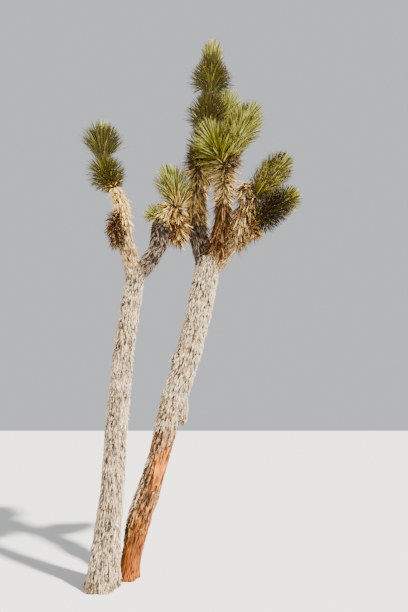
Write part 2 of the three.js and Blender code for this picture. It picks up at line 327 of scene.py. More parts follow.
class NodeTree(Nodes):
    """A Geometry Nodes tree that grows one piece from a mesh."""

    def __init__(self, name: str, inputs: dict[str, str]) -> None:
        """Starts the tree.

        Args:
            name: The tree's name.
            inputs: The named inputs after the geometry, each with its socket type.
        """
        super().__init__(bpy.data.node_groups.new(name, "GeometryNodeTree"))
        interface = self.tree.interface
        interface.new_socket("Geometry", in_out="INPUT", socket_type="NodeSocketGeometry")
        interface.new_socket("Geometry", in_out="OUTPUT", socket_type="NodeSocketGeometry")
        self.identifiers = {
            label: interface.new_socket(label, in_out="INPUT", socket_type=kind).identifier
            for label, kind in inputs.items()
        }
        self._inlet = self.tree.nodes.new("NodeGroupInput")

    def inlet(self, label: str) -> Socket:
        """Gives the socket that holds one named input."""
        return self._inlet.outputs[label]

    def attribute(self, name: str, kind: str = "FLOAT_VECTOR") -> Socket:
        """Reads a named attribute of a data type."""
        node = self.add("GeometryNodeInputNamedAttribute", {"data_type": kind}, Name=name)
        return self.out(node, "Attribute")

    def maths(self, operation: str, first: Any, second: Any = 0.0, third: Any = 0.0) -> Socket:
        """Adds one step of arithmetic.

        Args:
            operation: The operation's name.
            first: A socket or a number.
            second: A socket or a number.
            third: A socket or a number, used by three-part operations.

        Returns:
            The result's socket.
        """
        node = self.tree.nodes.new("ShaderNodeMath")
        node.operation = operation
        for index, value in enumerate((first, second, third)):
            self.join(value, node.inputs[index])
        return node.outputs[0]

    def vectors(self, operation: str, first: Any, second: Any = None,
                scale: Any = None) -> Socket:
        """Adds one step of vector arithmetic.

        Args:
            operation: The operation's name.
            first: A socket or a vector.
            second: A socket or a vector, if the operation takes one.
            scale: A socket or a number, for SCALE.

        Returns:
            The result's socket.
        """
        node = self.tree.nodes.new("ShaderNodeVectorMath")
        node.operation = operation
        self.join(first, node.inputs[0])
        if second is not None:
            self.join(second, node.inputs[1])
        if scale is not None:
            self.join(scale, self.socket(node.inputs, "Scale"))
        return next(s for s in node.outputs if s.enabled)

    def random(self, low: Any, high: Any, seed: int) -> Socket:
        """Deals each point a random value.

        Args:
            low: The least number or vector.
            high: The greatest one.
            seed: A number that sets this deal apart from others.

        Returns:
            The value.
        """
        kind = "FLOAT_VECTOR" if isinstance(low, tuple) else "FLOAT"
        node = self.add("FunctionNodeRandomValue", {"data_type": kind}, Min=low, Max=high, Seed=seed)
        return self.out(node, "Value")

    def stored(self, geometry: Socket, name: str, value: Socket) -> Socket:
        """Adds a step that stores a number on each point."""
        node = self.add("GeometryNodeStoreNamedAttribute", {"data_type": "FLOAT", "domain": "POINT"},
                        Geometry=geometry, Name=name, Value=value)
        return node.outputs[0]

    def planted(self, points: Socket, way: Socket, second_axis: str, across: Socket, shape: Socket,
                **values: Any) -> Socket:
        """Adds the steps that set a shape on each point and make it real.

        Args:
            points: The points.
            way: Where each shape's Z axis points.
            second_axis: The shape's axis that is turned across its way.
            across: Where that axis points.
            shape: The shape, or the shapes to pick from.
            **values: More inputs of the step that sets them out.

        Returns:
            The geometry after the steps.
        """
        turned = self.add("FunctionNodeAxesToRotation",
                          {"primary_axis": "Z", "secondary_axis": second_axis})
        self.join(way, turned.inputs[0])
        self.join(across, turned.inputs[1])
        set_out = self.add("GeometryNodeInstanceOnPoints", None, Points=points, Instance=shape,
                           Rotation=turned.outputs[0], **values)
        return self.add("GeometryNodeRealizeInstances", None, Geometry=set_out.outputs[0]).outputs[0]

    def painted(self, geometry: Socket, finish: Any, selection: Any = True) -> Socket:
        """Adds a step that gives a material to the faces that are picked."""
        return self.add("GeometryNodeSetMaterial", None, Geometry=geometry, Selection=selection,
                        Material=finish).outputs[0]

    def finish(self, geometry: Socket) -> None:
        """Joins the last geometry to the tree's output."""
        outlet = self.tree.nodes.new("NodeGroupOutput")
        self.tree.links.new(geometry, outlet.inputs[0])

    def grow(self, name: str, mesh: bpy.types.Mesh, inputs: dict[str, Any]) -> bpy.types.Object:
        """Runs the tree on a mesh and keeps the result as a plain mesh in a new object.

        Args:
            name: The new object's name.
            mesh: The mesh that the tree starts from.
            inputs: A value for each named input.

        Returns:
            The new object.
        """
        base = new_object(f"{name}_base", mesh)
        modifier = base.modifiers.new("grow", "NODES")
        modifier.node_group = self.tree
        for label, value in inputs.items():
            modifier[self.identifiers[label]] = value
        graph = bpy.context.evaluated_depsgraph_get()
        plain = bpy.data.meshes.new_from_object(
            base.evaluated_get(graph), preserve_all_data_layers=True, depsgraph=graph)
        plain.name = name
        bpy.data.objects.remove(base)
        return new_object(name, plain)


class Shader(Nodes):
    """A material under construction, from its principled shader up."""

    GLOSS = 0.25

    def __init__(self, name: str) -> None:
        """Starts the material.

        Args:
            name: The material's name.
        """
        self.material = bpy.data.materials.new(name)
        self.material.use_nodes = True
        super().__init__(self.material.node_tree)
        self.surface = self.tree.nodes["Principled BSDF"]

    def place(self) -> Socket:
        """Gives the piece's own coordinates, in metres."""
        return self.add("ShaderNodeTexCoord").outputs["Object"]

    def attribute(self, name: str, output: str) -> Socket:
        """Reads one of the mesh's attributes."""
        return self.add("ShaderNodeAttribute", {"attribute_name": name}).outputs[output]

    def stretched(self, place: Socket, scale: Point) -> Socket:
        """Scales coordinates by a different amount on each axis."""
        return self.add("ShaderNodeMapping", None, Vector=place, Scale=scale).outputs["Vector"]

    def ramp(self, value: Socket, stops: Sequence[tuple[float, Colour]]) -> Socket:
        """Turns a value into a colour between a few stops.

        Args:
            value: The value.
            stops: Values and their colours, in rising order.

        Returns:
            The colour's socket.
        """
        node = self.add("ShaderNodeValToRGB")
        self.tree.links.new(value, node.inputs[0])
        marks = node.color_ramp.elements
        while len(marks) < len(stops):
            marks.new(1.0)
        for mark, (position, colour) in zip(marks, stops):
            mark.position = position
            mark.color = colour
        return node.outputs["Color"]

    def mix(self, share: Any, first: Any, second: Any, blend: str = "MIX") -> Socket:
        """Mixes a share of the second colour into the first, in the way that blend names."""
        node = self.add("ShaderNodeMix", {"data_type": "RGBA", "blend_type": blend},
                        Factor=share, A=first, B=second)
        return self.out(node, "Result")

    def finish(self, colour: Socket, roughness: float, height: Socket | None = None,
               depth: float = 0.0) -> bpy.types.Material:
        """Joins the last colour and relief to the surface.

        Args:
            colour: The base colour's socket.
            roughness: The surface's roughness.
            height: A value that stands for fine relief, if there is any.
            depth: How far that relief goes, in metres.

        Returns:
            The material.
        """
        self.tree.links.new(colour, self.surface.inputs["Base Color"])
        self.surface.inputs["Roughness"].default_value = roughness
        self.surface.inputs["Specular IOR Level"].default_value = self.GLOSS
        if height is not None:
            bump = self.add("ShaderNodeBump", None, Height=height, Distance=depth, Strength=1.0)
            self.tree.links.new(bump.outputs["Normal"], self.surface.inputs["Normal"])
        return self.material


@dataclass(frozen=True)
class LeafFinish:
    """One tint of leaf, a little different from one leaf to the next and along each leaf."""

    name: str
    light: Colour
    dark: Colour
    roughness: float = 0.5
    patches: float = 16.0

    FIBRES = 240.0
    FIBRE_STRETCH = (1.0, 1.0, 0.25)
    FIBRE_DEPTH = 0.0006
    STREAKED = 0.35

    def make(self) -> bpy.types.Material:
        """Makes the material.

        Returns:
            The material.
        """
        shader = Shader(self.name)
        place = shader.place()
        tint = shader.mix(shader.speckle(place, self.patches), self.dark, self.light)
        fibre = shader.speckle(shader.stretched(place, self.FIBRE_STRETCH), self.FIBRES, 1.0)
        streaks = shader.ramp(fibre, ((0.3, self.dark), (0.7, self.light)))
        streaked = shader.mix(self.STREAKED, tint, streaks)
        return shader.finish(streaked, self.roughness, fibre, self.FIBRE_DEPTH)


# Painted shade along a limb: how dark the bark is painted, from fully shaded to unshaded
PAINTED_SHADE_RAMP = ((0.0, (0.24, 0.17, 0.12, 1.0)), (1.0, grey(1.0)))

# How dark the bark is painted from the bottom of a gap to the top of a flake: painted shade in gaps and on
# the low flanks of flakes
GAP_SHADES = ((0.08, (0.1, 0.085, 0.07, 1.0)), (0.22, (0.27, 0.24, 0.2, 1.0)),
              (0.38, (0.66, 0.62, 0.57, 1.0)), (0.52, grey(1.0)))

# How dark the fine cracks are along the fibres of bark, and the weathered blotches of bare wood
CRACK_SHADES = ((0.36, grey(0.2)), (0.46, grey(0.55)), (0.56, grey(1.0)))
BLOTCH_SHADES = ((0.4, grey(0.35)), (0.5, grey(0.85)), (0.6, grey(1.0)))


@dataclass(frozen=True)
class BarkFinish:
    """Corky bark: flakes of mixed tints, flanks and fissures darkened by painted shade, painted shade along
    the limb, and rusty bark beside bare wood.
    """

    name: str
    tints: tuple[tuple[float, Colour], ...]
    rust: Colour
    roughness: float = 0.95

    FIBRES = 90.0
    FIBRE_STRETCH = (1.0, 1.0, 0.12)
    FIBRE_DEPTH = 0.004
    CRACKED = 0.85

    def make(self) -> bpy.types.Material:
        """Makes the material.

        Returns:
            The material, which reads the attributes that the skin was given.
        """
        shader = Shader(self.name)
        height = shader.attribute("bark_height", "Fac")
        place = shader.attribute("limb_place", "Vector")
        tint = shader.ramp(shader.attribute("flake_tone", "Fac"), self.tints)
        rusty = shader.mix(shader.attribute("rusty", "Fac"), tint, self.rust, "MULTIPLY")
        # Painted shade along the limb, read from the shade attribute
        painted_shade = shader.ramp(shader.attribute("shade", "Fac"), PAINTED_SHADE_RAMP)
        limb_shaded = shader.mix(1.0, rusty, painted_shade, "MULTIPLY")
        # Painted shade in the gaps between flakes and on their low flanks, by the bark's height
        shaded = shader.mix(1.0, limb_shaded, shader.ramp(height, GAP_SHADES), "MULTIPLY")
        fibre = shader.speckle(shader.stretched(place, self.FIBRE_STRETCH), self.FIBRES)
        cracked = shader.mix(self.CRACKED, shaded, shader.ramp(fibre, CRACK_SHADES), "MULTIPLY")
        return shader.finish(cracked, self.roughness, fibre, self.FIBRE_DEPTH)


@dataclass(frozen=True)
class BareWoodFinish:
    """Wood that has lost its bark: orange-brown, with long streaks, redder and darker at the foot."""

    name: str
    streak: Colour
    wood: Colour
    bright: Colour
    foot: Colour
    roughness: float = 0.8

    FIBRES = 75.0
    FIBRE_STRETCH = (1.0, 1.0, 0.07)
    FIBRE_DEPTH = 0.006
    BLOTCHES = 17.0
    BLOTCH_STRETCH = (1.0, 1.0, 0.35)
    BLOTCHED = 0.9
    FOOT_HEIGHTS = (0.3, 1.15)
    REDDENED = 0.75

    def make(self) -> bpy.types.Material:
        """Makes the material.

        Returns:
            The material, which reads the attributes that the skin was given.
        """
        shader = Shader(self.name)
        place = shader.attribute("limb_place", "Vector")
        fibre = shader.speckle(shader.stretched(place, self.FIBRE_STRETCH), self.FIBRES, 4.0)
        wood = shader.ramp(fibre, ((0.4, self.streak), (0.48, self.wood), (0.6, self.bright)))
        low = shader.add("ShaderNodeMapRange", None, Value=shader.part(shader.place(), 2),
                         From_Min=self.FOOT_HEIGHTS[0], From_Max=self.FOOT_HEIGHTS[1],
                         To_Min=self.REDDENED, To_Max=0.0).outputs["Result"]
        reddened = shader.mix(low, wood, self.foot, "MULTIPLY")
        blotches = shader.speckle(shader.stretched(place, self.BLOTCH_STRETCH), self.BLOTCHES)
        blotched = shader.mix(self.BLOTCHED, reddened, shader.ramp(blotches, BLOTCH_SHADES), "MULTIPLY")
        return shader.finish(blotched, self.roughness, fibre, self.FIBRE_DEPTH)


@dataclass(frozen=True)
class FloorFinish:
    """The studio's plain pale floor."""

    name: str = "pale_floor"
    pale: Colour = srgb(226, 224, 220)
    paler: Colour = srgb(230, 228, 224)
    roughness: float = 0.95
    clouds: float = 0.6

    def make(self) -> bpy.types.Material:
        """Makes the material.

        Returns:
            The material.
        """
        shader = Shader(self.name)
        colour = shader.mix(shader.speckle(shader.place(), self.clouds), self.pale, self.paler)
        return shader.finish(colour, self.roughness)


OLIVE = LeafFinish("leaf_olive", srgb(78, 71, 0), srgb(46, 40, 0), 0.6)
SHADOW = LeafFinish("leaf_shaded", srgb(36, 30, 2), srgb(18, 14, 0), 0.7)
GREEN = LeafFinish("leaf_green", srgb(116, 107, 8), srgb(72, 65, 0))
YELLOW = LeafFinish("leaf_yellow_green", srgb(160, 160, 54), srgb(106, 106, 14))
CREAM = LeafFinish("leaf_cream", srgb(202, 210, 134), srgb(150, 158, 72))
ROOT = LeafFinish("leaf_root", srgb(120, 100, 48), srgb(72, 58, 18))
SPINE = LeafFinish("leaf_spine", srgb(204, 164, 112), srgb(142, 98, 56))
STRAW = LeafFinish("dry_straw", srgb(255, 226, 146), srgb(216, 172, 88), 0.7)
TAN = LeafFinish("dry_tan", srgb(176, 130, 64), srgb(114, 78, 32), 0.7)
BROWN = LeafFinish("dry_brown", srgb(84, 52, 20), srgb(44, 26, 9), 0.75)
GREY = LeafFinish("dry_grey", srgb(140, 124, 106), srgb(78, 66, 54), 0.75)
RUST = LeafFinish("dry_rust", srgb(124, 80, 6), srgb(68, 40, 0), 0.7)
FRAYED = LeafFinish("frayed_fibre", srgb(240, 226, 200), srgb(170, 146, 116), 0.85, 60.0)
SHREDS = LeafFinish("shredded_bark", srgb(214, 176, 120), srgb(92, 64, 36), 0.85, 60.0)
# Darker shreds for the boughs under the thatch: grey bark with painted shade
GREY_SHADED_SHREDS = LeafFinish("grey_shredded_bark", srgb(146, 126, 104), srgb(48, 38, 30), 0.85, 60.0)
CORE = LeafFinish("shaded_core", srgb(96, 68, 36), srgb(48, 32, 14), 0.9)

# The tints that leaves are dealt, with those of a blade's root and spine last
TINTS = (OLIVE, GREEN, YELLOW, CREAM, STRAW, TAN, BROWN, GREY, RUST, SHADOW, ROOT, SPINE)

RUSTY_BARK = srgb(214, 154, 94)
TRUNK_BARK = BarkFinish("flaking_trunk_bark", (
    (0.1, srgb(84, 72, 58)), (0.16, srgb(136, 116, 88)), (0.28, srgb(120, 106, 90)),
    (0.36, srgb(255, 228, 176)), (0.56, srgb(255, 240, 208)), (0.62, srgb(140, 120, 94)),
    (0.76, srgb(156, 140, 118)), (0.82, srgb(255, 222, 160)), (0.94, srgb(228, 208, 176))), RUSTY_BARK)
SILVER_BARK = BarkFinish("silver_trunk_bark", (
    (0.1, srgb(92, 80, 68)), (0.16, srgb(140, 122, 100)), (0.28, srgb(130, 117, 102)),
    (0.36, srgb(250, 225, 184)), (0.56, srgb(255, 233, 202)), (0.62, srgb(142, 126, 106)),
    (0.76, srgb(160, 145, 127)), (0.82, srgb(248, 218, 168)), (0.94, srgb(216, 199, 174))), RUSTY_BARK)
BOUGH_BARK = BarkFinish("tan_bough_bark", (
    (0.08, srgb(104, 78, 50)), (0.2, srgb(170, 134, 90)), (0.34, srgb(148, 124, 98)),
    (0.42, srgb(255, 222, 166)), (0.66, srgb(255, 240, 200)), (0.74, srgb(170, 144, 108)),
    (0.9, srgb(240, 214, 170))), RUSTY_BARK)
# Grey bark darkened with painted shade, for the inner and spire boughs that lie under the thatch
GREY_SHADED_BARK = BarkFinish("grey_bough_bark", (
    (0.08, srgb(30, 24, 20)), (0.25, srgb(64, 54, 46)), (0.42, srgb(112, 98, 86)),
    (0.6, srgb(40, 32, 28)), (0.84, srgb(176, 158, 140)), (0.95, srgb(62, 54, 48))), RUSTY_BARK)
BARE_WOOD = BareWoodFinish("bare_wood", srgb(76, 36, 0), srgb(176, 92, 0), srgb(232, 146, 20),
                           srgb(150, 118, 84))


class Slot(Enum):
    """The record's material slots."""

    BARK = "bark"
    BARE_WOOD = "bare_wood"
    THATCH = "thatch"
    GREEN = "green_leaves"
    YOUNG = "young_leaves"


class Zone(Enum):
    """The parts of a leaf that have a tint of their own."""

    ROOT = 0
    BLADE = 1
    SPINE = 2


# The middle line of every arm, from foot to tip. Boughs, thatch and rosettes follow one another on it
ARMS: dict[str, Sequence[Point]] = {
    "outer": ((-0.02, -0.25, 3.27), (-0.164, -0.256, 3.745), (-0.237, -0.27, 4.18), (-0.32, -0.276, 4.435),
              (-0.484, -0.281, 4.735), (-0.52, -0.286, 4.99), (-0.536, -0.29, 5.2)),
    "inner": ((0, -0.25, 3.27), (0.158, -0.23, 3.51), (0.245, -0.205, 3.7), (0.256, -0.19, 3.915),
              (0.272, -0.18, 4.075), (0.35, -0.165, 4.18), (0.5, -0.15, 4.22)),
    "inner_up": ((0.475, -0.155, 4.17), (0.435, -0.165, 4.43), (0.37, -0.18, 4.635)),
    "inner_side": ((0.275, -0.185, 4.06), (0.242, -0.215, 4.08), (0.212, -0.25, 4.08)),
    "inner_hanging": ((0.43, -0.15, 4.2), (0.462, -0.14, 4.05), (0.466, -0.135, 3.84)),
    "outer_dead": ((-0.25, -0.3, 4.13), (-0.28, -0.34, 3.95), (-0.232, -0.35, 3.69)),
    "spire": ((0.85, 0.02, 3.44), (0.722, 0.06, 4.035), (0.67, 0.07, 4.49), (0.732, 0.08, 4.965),
              (0.855, 0.09, 5.635), (0.915, 0.095, 6.525), (0.935, 0.095, 7.05)),
    "front": ((0.905, 0.015, 3.44), (1, -0.055, 3.77), (1.048, -0.1, 4.03), (1.068, -0.15, 4.375),
              (1.082, -0.185, 4.635), (1.094, -0.215, 4.83)),
    "front_left": ((1.088, -0.208, 4.77), (1, -0.275, 4.985), (0.92, -0.34, 5.14)),
    "front_right": ((1.092, -0.208, 4.77), (1.23, -0.258, 5.19), (1.4, -0.3, 5.5)),
    "front_dead": ((1.08, -0.27, 4.83), (1.16, -0.31, 4.85), (1.24, -0.33, 4.83)),
    "right": ((0.885, 0.02, 3.44), (1.052, 0, 3.64), (1.195, -0.025, 3.865), (1.297, -0.045, 4.105),
              (1.388, -0.06, 4.34), (1.485, -0.07, 4.475)),
    "right_head": ((1.35, -0.07, 4.26), (1.365, -0.08, 4.48), (1.36, -0.085, 4.66)),
    "right_dead": ((1.345, -0.05, 4.11), (1.41, -0.045, 4.04), (1.445, -0.045, 3.93)),
    "right_up": ((1.452, -0.066, 4.4), (1.66, -0.095, 4.695), (1.85, -0.115, 4.92)),
    "right_low": ((1.36, -0.05, 4.12), (1.525, -0.02, 4.19), (1.7, 0.04, 4.325), (1.865, 0.1, 4.465),
                  (2.005, 0.14, 4.575)),
    "stub": ((0.47, 0, 1.99), (0.545, -0.015, 1.8), (0.566, -0.022, 1.565)),
    "back": ((0.85, 0.03, 3.44), (0.77, 0.19, 3.95), (0.71, 0.32, 4.4), (0.745, 0.4, 4.845),
             (0.865, 0.45, 5.3), (1.045, 0.475, 5.93), (1.215, 0.485, 6.61)),
}

MAIN_STEM_PATH: Sequence[Point] = (
    (0, 0, 0), (0.102, 0.005, 0.52), (0.224, 0.01, 0.945), (0.344, 0.015, 1.37), (0.447, 0.02, 1.825),
    (0.598, 0.02, 2.29), (0.684, 0.02, 2.645), (0.768, 0.02, 3.03), (0.88, 0.02, 3.6))
MAIN_STEM_RADII: Stops = (
    (0, 0.128), (0.03, 0.108), (0.08, 0.108), (0.14, 0.13), (0.2, 0.136), (0.26, 0.128), (0.34, 0.123),
    (0.43, 0.13), (0.54, 0.15), (0.68, 0.152), (0.76, 0.148), (0.9, 0.158), (1, 0.152))
SECOND_STEM_PATH: Sequence[Point] = (
    (-0.208, -0.264, 0), (-0.16, -0.26, 0.72), (-0.136, -0.255, 1.815), (-0.092, -0.25, 2.585),
    (-0.008, -0.25, 3.37))
SECOND_STEM_RADII: Stops = (
    (0, 0.172), (0.05, 0.156), (0.14, 0.134), (0.25, 0.12), (0.6, 0.113), (0.93, 0.108), (1, 0.112))


@dataclass(frozen=True)
class BarePatch:
    """The side of a stem that has lost its bark, between two angles that change with height.

    Angles are in degrees round the stem: 0 is the +X side and -90 faces the viewer. Remnants tell the share
    of bark that still clings within the patch at each height.
    """

    left_stops: Stops = (
        (0.0, -168), (0.12, -160), (0.33, -128), (0.5, -112), (0.66, -104), (0.74, -84), (0.86, -80),
        (1.0, -92), (1.15, -94), (1.24, -86), (1.3, -45), (1.36, 30))
    right_stops: Stops = ((0.0, 60), (0.5, 48), (1.36, 40))
    remnant_stops: Stops = (
        (0.0, 0.06), (0.4, 0.12), (0.5, 0.4), (0.68, 0.55), (0.74, 0.9), (0.86, 0.82), (0.92, 0.12),
        (1.2, 0.1), (1.36, 0.6))
    ragged_degrees: float = 14.0
    rusty_degrees: float = 105.0
    rusty_above: float = 0.4
    rust_beside: float = 0.85
    rust_over: float = 0.7
    edge_degrees: float = 3.0

    RAGGED_SCALE = (26.0, 26.0, 9.0)
    REMNANT_SCALE = (42.0, 42.0, 15.0)
    REMNANT_SLOPE = 0.1
    NOISE_BY_SHARE = ((0, 2), (0.1, 0.42), (0.3, 0.17), (0.5, 0.0), (0.7, -0.17), (0.9, -0.42), (1, -2))

    def inside(self, places: np.ndarray, angles: np.ndarray) -> np.ndarray:
        """Tells how many degrees each point lies inside the patch's two sides.

        Args:
            places: The points.
            angles: Their angles round the stem, from -180 to 180.

        Returns:
            Degrees, below zero outside the patch.
        """
        rough = self._noise(places, self.RAGGED_SCALE)
        shifted = angles + self.ragged_degrees * rough
        left = shifted - read_stops(self.left_stops, places[:, 2])
        right = read_stops(self.right_stops, places[:, 2]) - shifted
        return np.minimum(left, right)

    def weight(self, places: np.ndarray, angles: np.ndarray) -> np.ndarray:
        """Tells how bare each point of the stem's skin is.

        Args:
            places: The points.
            angles: Their angles round the stem.

        Returns:
            1 on bare wood, 0 under bark, and a narrow slope between.
        """
        within = np.clip(self.inside(places, angles) / self.edge_degrees + 0.5, 0, 1)
        limit = read_stops(self.NOISE_BY_SHARE, read_stops(self.remnant_stops, places[:, 2]))
        cleared = (limit - self._noise(places, self.REMNANT_SCALE)) / self.REMNANT_SLOPE
        return within * np.clip(cleared + 0.5, 0, 1)

    def rust(self, places: np.ndarray, angles: np.ndarray) -> np.ndarray:
        """Tells how rusty the bark is: wholly so inside the patch, less and less beside it and above it.

        Args:
            places: The points.
            angles: Their angles round the stem.

        Returns:
            0 to 1 for each point.
        """
        over = places[:, 2] - self.left_stops[-1][0]
        beside = np.clip(1 + self.inside(places, angles) / self.rusty_degrees, 0, 1) * self.rust_beside
        beside = beside * np.clip(1 - over / (2 * self.rusty_above), 0, 1)
        above = np.clip(1 - np.abs(over) / self.rusty_above, 0, 1) * self.rust_over
        return np.maximum(beside, above)

    @staticmethod
    def _noise(places: np.ndarray, scales: Point) -> np.ndarray:
        """Reads smooth noise, about -1 to 1, at scaled points."""
        return np.array([noise.noise(Vector(row)) for row in (places * scales).tolist()])


@dataclass(frozen=True)
class Knob:
    """A low swelling on one side of a stem, where a limb once started."""

    height: float = 2.32
    angle_degrees: float = -165.0
    rise: float = 0.036
    half_height: float = 0.065
    half_degrees: float = 24.0

    def swelling(self, heights: np.ndarray, degrees: np.ndarray) -> np.ndarray:
        """Tells how far the knob lifts each point of the skin, by its height and its angle round the stem."""
        turn = ((degrees - self.angle_degrees + 180) % 360 - 180) / self.half_degrees
        return self.rise * np.exp(-((heights - self.height) / self.half_height) ** 2 - turn ** 2)


# Painted shade along a limb where none is given: the bark is unshaded all along its length
UNSHADED: Stops = ((0, 1), (1, 1))


@dataclass
class Limb:
    """One stem, bough or stub: a tapering limb with its CAD node's place and size.

    Flake gives the width and the length of its flakes of bark, and fray the length of its loose fibres and
    how many stand on a square metre. A level limb's rings lie flat, like those of its solid.
    """

    name: str
    path: Sequence[Point]
    radii: Stops
    reach: float | None = None
    level: bool = False
    bare: BarePatch | None = None
    knob: Knob | None = None
    dome: float = 0.35
    finish: BarkFinish = TRUNK_BARK
    flake: tuple[float, float] = (0.0175, 0.13)
    fray: tuple[float, float] = (0.06, 1100.0)
    shreds: LeafFinish = FRAYED
    # Painted shade along the limb: how light its bark is painted from foot to tip
    shade: Stops = UNSHADED

    def rings(self) -> tuple[np.ndarray, Places, np.ndarray]:
        """Works out where the rings of the skin lie.

        Returns:
            The distance, the place and the radius of each ring.
        """
        line = MiddleLine(self.path)
        reach = self.reach or line.length
        count = max(FEWEST_RINGS, round(reach / SKIN_ALONG))
        distances = np.linspace(0, reach, count + 1)
        places = line.at(distances)
        radii = read_stops(self.radii, distances / reach)
        if self.level:
            level = np.ones_like(distances)[:, None]
            places = Places(places.centre, places.along, level * RIGHT, level * AWAY)
        return distances, places, radii

    def skin(self) -> bpy.types.Mesh:
        """Builds the limb's smooth skin, with the attributes that bark grows by.

        Returns:
            The closed mesh.
        """
        distances, places, radii = self.rings()
        sides = max(FEWEST_SIDES, round(2 * math.pi * float(radii.mean()) / SKIN_ROUND))
        angles = np.arange(sides) * 2 * math.pi / sides
        turn = 2 * math.pi * distances[:, None] / RIDGE_TWIST_LENGTH
        ridge = np.sin(RIDGES * angles + turn) + 0.5 * np.sin(FINER_RIDGES * angles - 2 * turn)
        reach = radii[:, None] * (1 + RIDGE_DEPTH * ridge)
        if self.level:
            fading = np.clip(1 - places.centre[:, 2:3] / FOOT_LOBE_HEIGHT, 0, 1)
            reach = reach * (1 + FOOT_LOBE_DEPTH * fading * np.sin(FOOT_LOBES * angles))
        if self.knob:
            reach = reach + self.knob.swelling(places.centre[:, 2:3], np.degrees(angles))
        outward = places.outward(angles)
        points = places.centre[:, None] + outward * reach[..., None]
        top = places.centre[-1] + places.along[-1] * radii[-1] * self.dome
        return self._mesh(points, outward, places, distances, reach, angles, top)

    def _mesh(self, points: np.ndarray, outward: np.ndarray, places: Places, distances: np.ndarray,
              reach: np.ndarray, angles: np.ndarray, top: np.ndarray) -> bpy.types.Mesh:
        """Joins the rings into a closed mesh and stores its attributes.

        Args:
            points: Ring by side by axis.
            outward: The way out of the limb at each point.
            places: The rings' places.
            distances: The rings' distances.
            reach: Each point's distance from the middle line.
            angles: The sides' angles.
            top: The point that closes the far end.

        Returns:
            The mesh.
        """
        rings, sides = points.shape[:2]
        foot, head = rings * sides, rings * sides + 1
        last = (rings - 1) * sides
        caps = [(foot, (s + 1) % sides, s) for s in range(sides)]
        caps += [(head, last + s, last + (s + 1) % sides) for s in range(sides)]
        flat = points.reshape(-1, 3)
        mesh = new_mesh(f"{self.name}_skin", np.vstack([flat, places.centre[0], top]).tolist(),
                        tube_faces(rings, sides) + caps)
        along = np.repeat(places.along[:, None], sides, 1).reshape(-1, 3)
        limb_place = np.stack([reach * np.cos(angles), reach * np.sin(angles),
                               np.repeat(distances[:, None], sides, 1)], -1).reshape(-1, 3)
        bare, rusty = np.zeros(len(flat)), np.zeros(len(flat))
        if self.bare:
            degrees = np.degrees(np.angle(np.exp(1j * np.tile(angles, rings))))
            bare = self.bare.weight(flat, degrees)
            rusty = self.bare.rust(flat, degrees)
        # Painted shade: how light the bark is painted at each ring
        shade = read_stops(self.shade, distances / distances[-1])
        ends = np.zeros((2, 3))
        store(mesh, "outward", np.vstack([outward.reshape(-1, 3), ends]))
        store(mesh, "grows_along", np.vstack([along, places.along[[0, -1]]]))
        store(mesh, "limb_place", np.vstack([limb_place, ends]))
        store(mesh, "bare", np.concatenate([bare, [0, 0]]))
        store(mesh, "rusty", np.concatenate([rusty, [0, 0]]))
        store(mesh, "shade", np.concatenate([np.repeat(shade, sides), shade[[0, -1]]]))
        return mesh


@dataclass(frozen=True)
class Gaps:
    """A pattern of gaps in bark: thin fissures near the middle of a noise, or lenses far from it.

    The span tells how far the noise is from its middle where a gap starts and where it is deepest.
    """

    scale: float
    span: tuple[float, float]
    depth: float


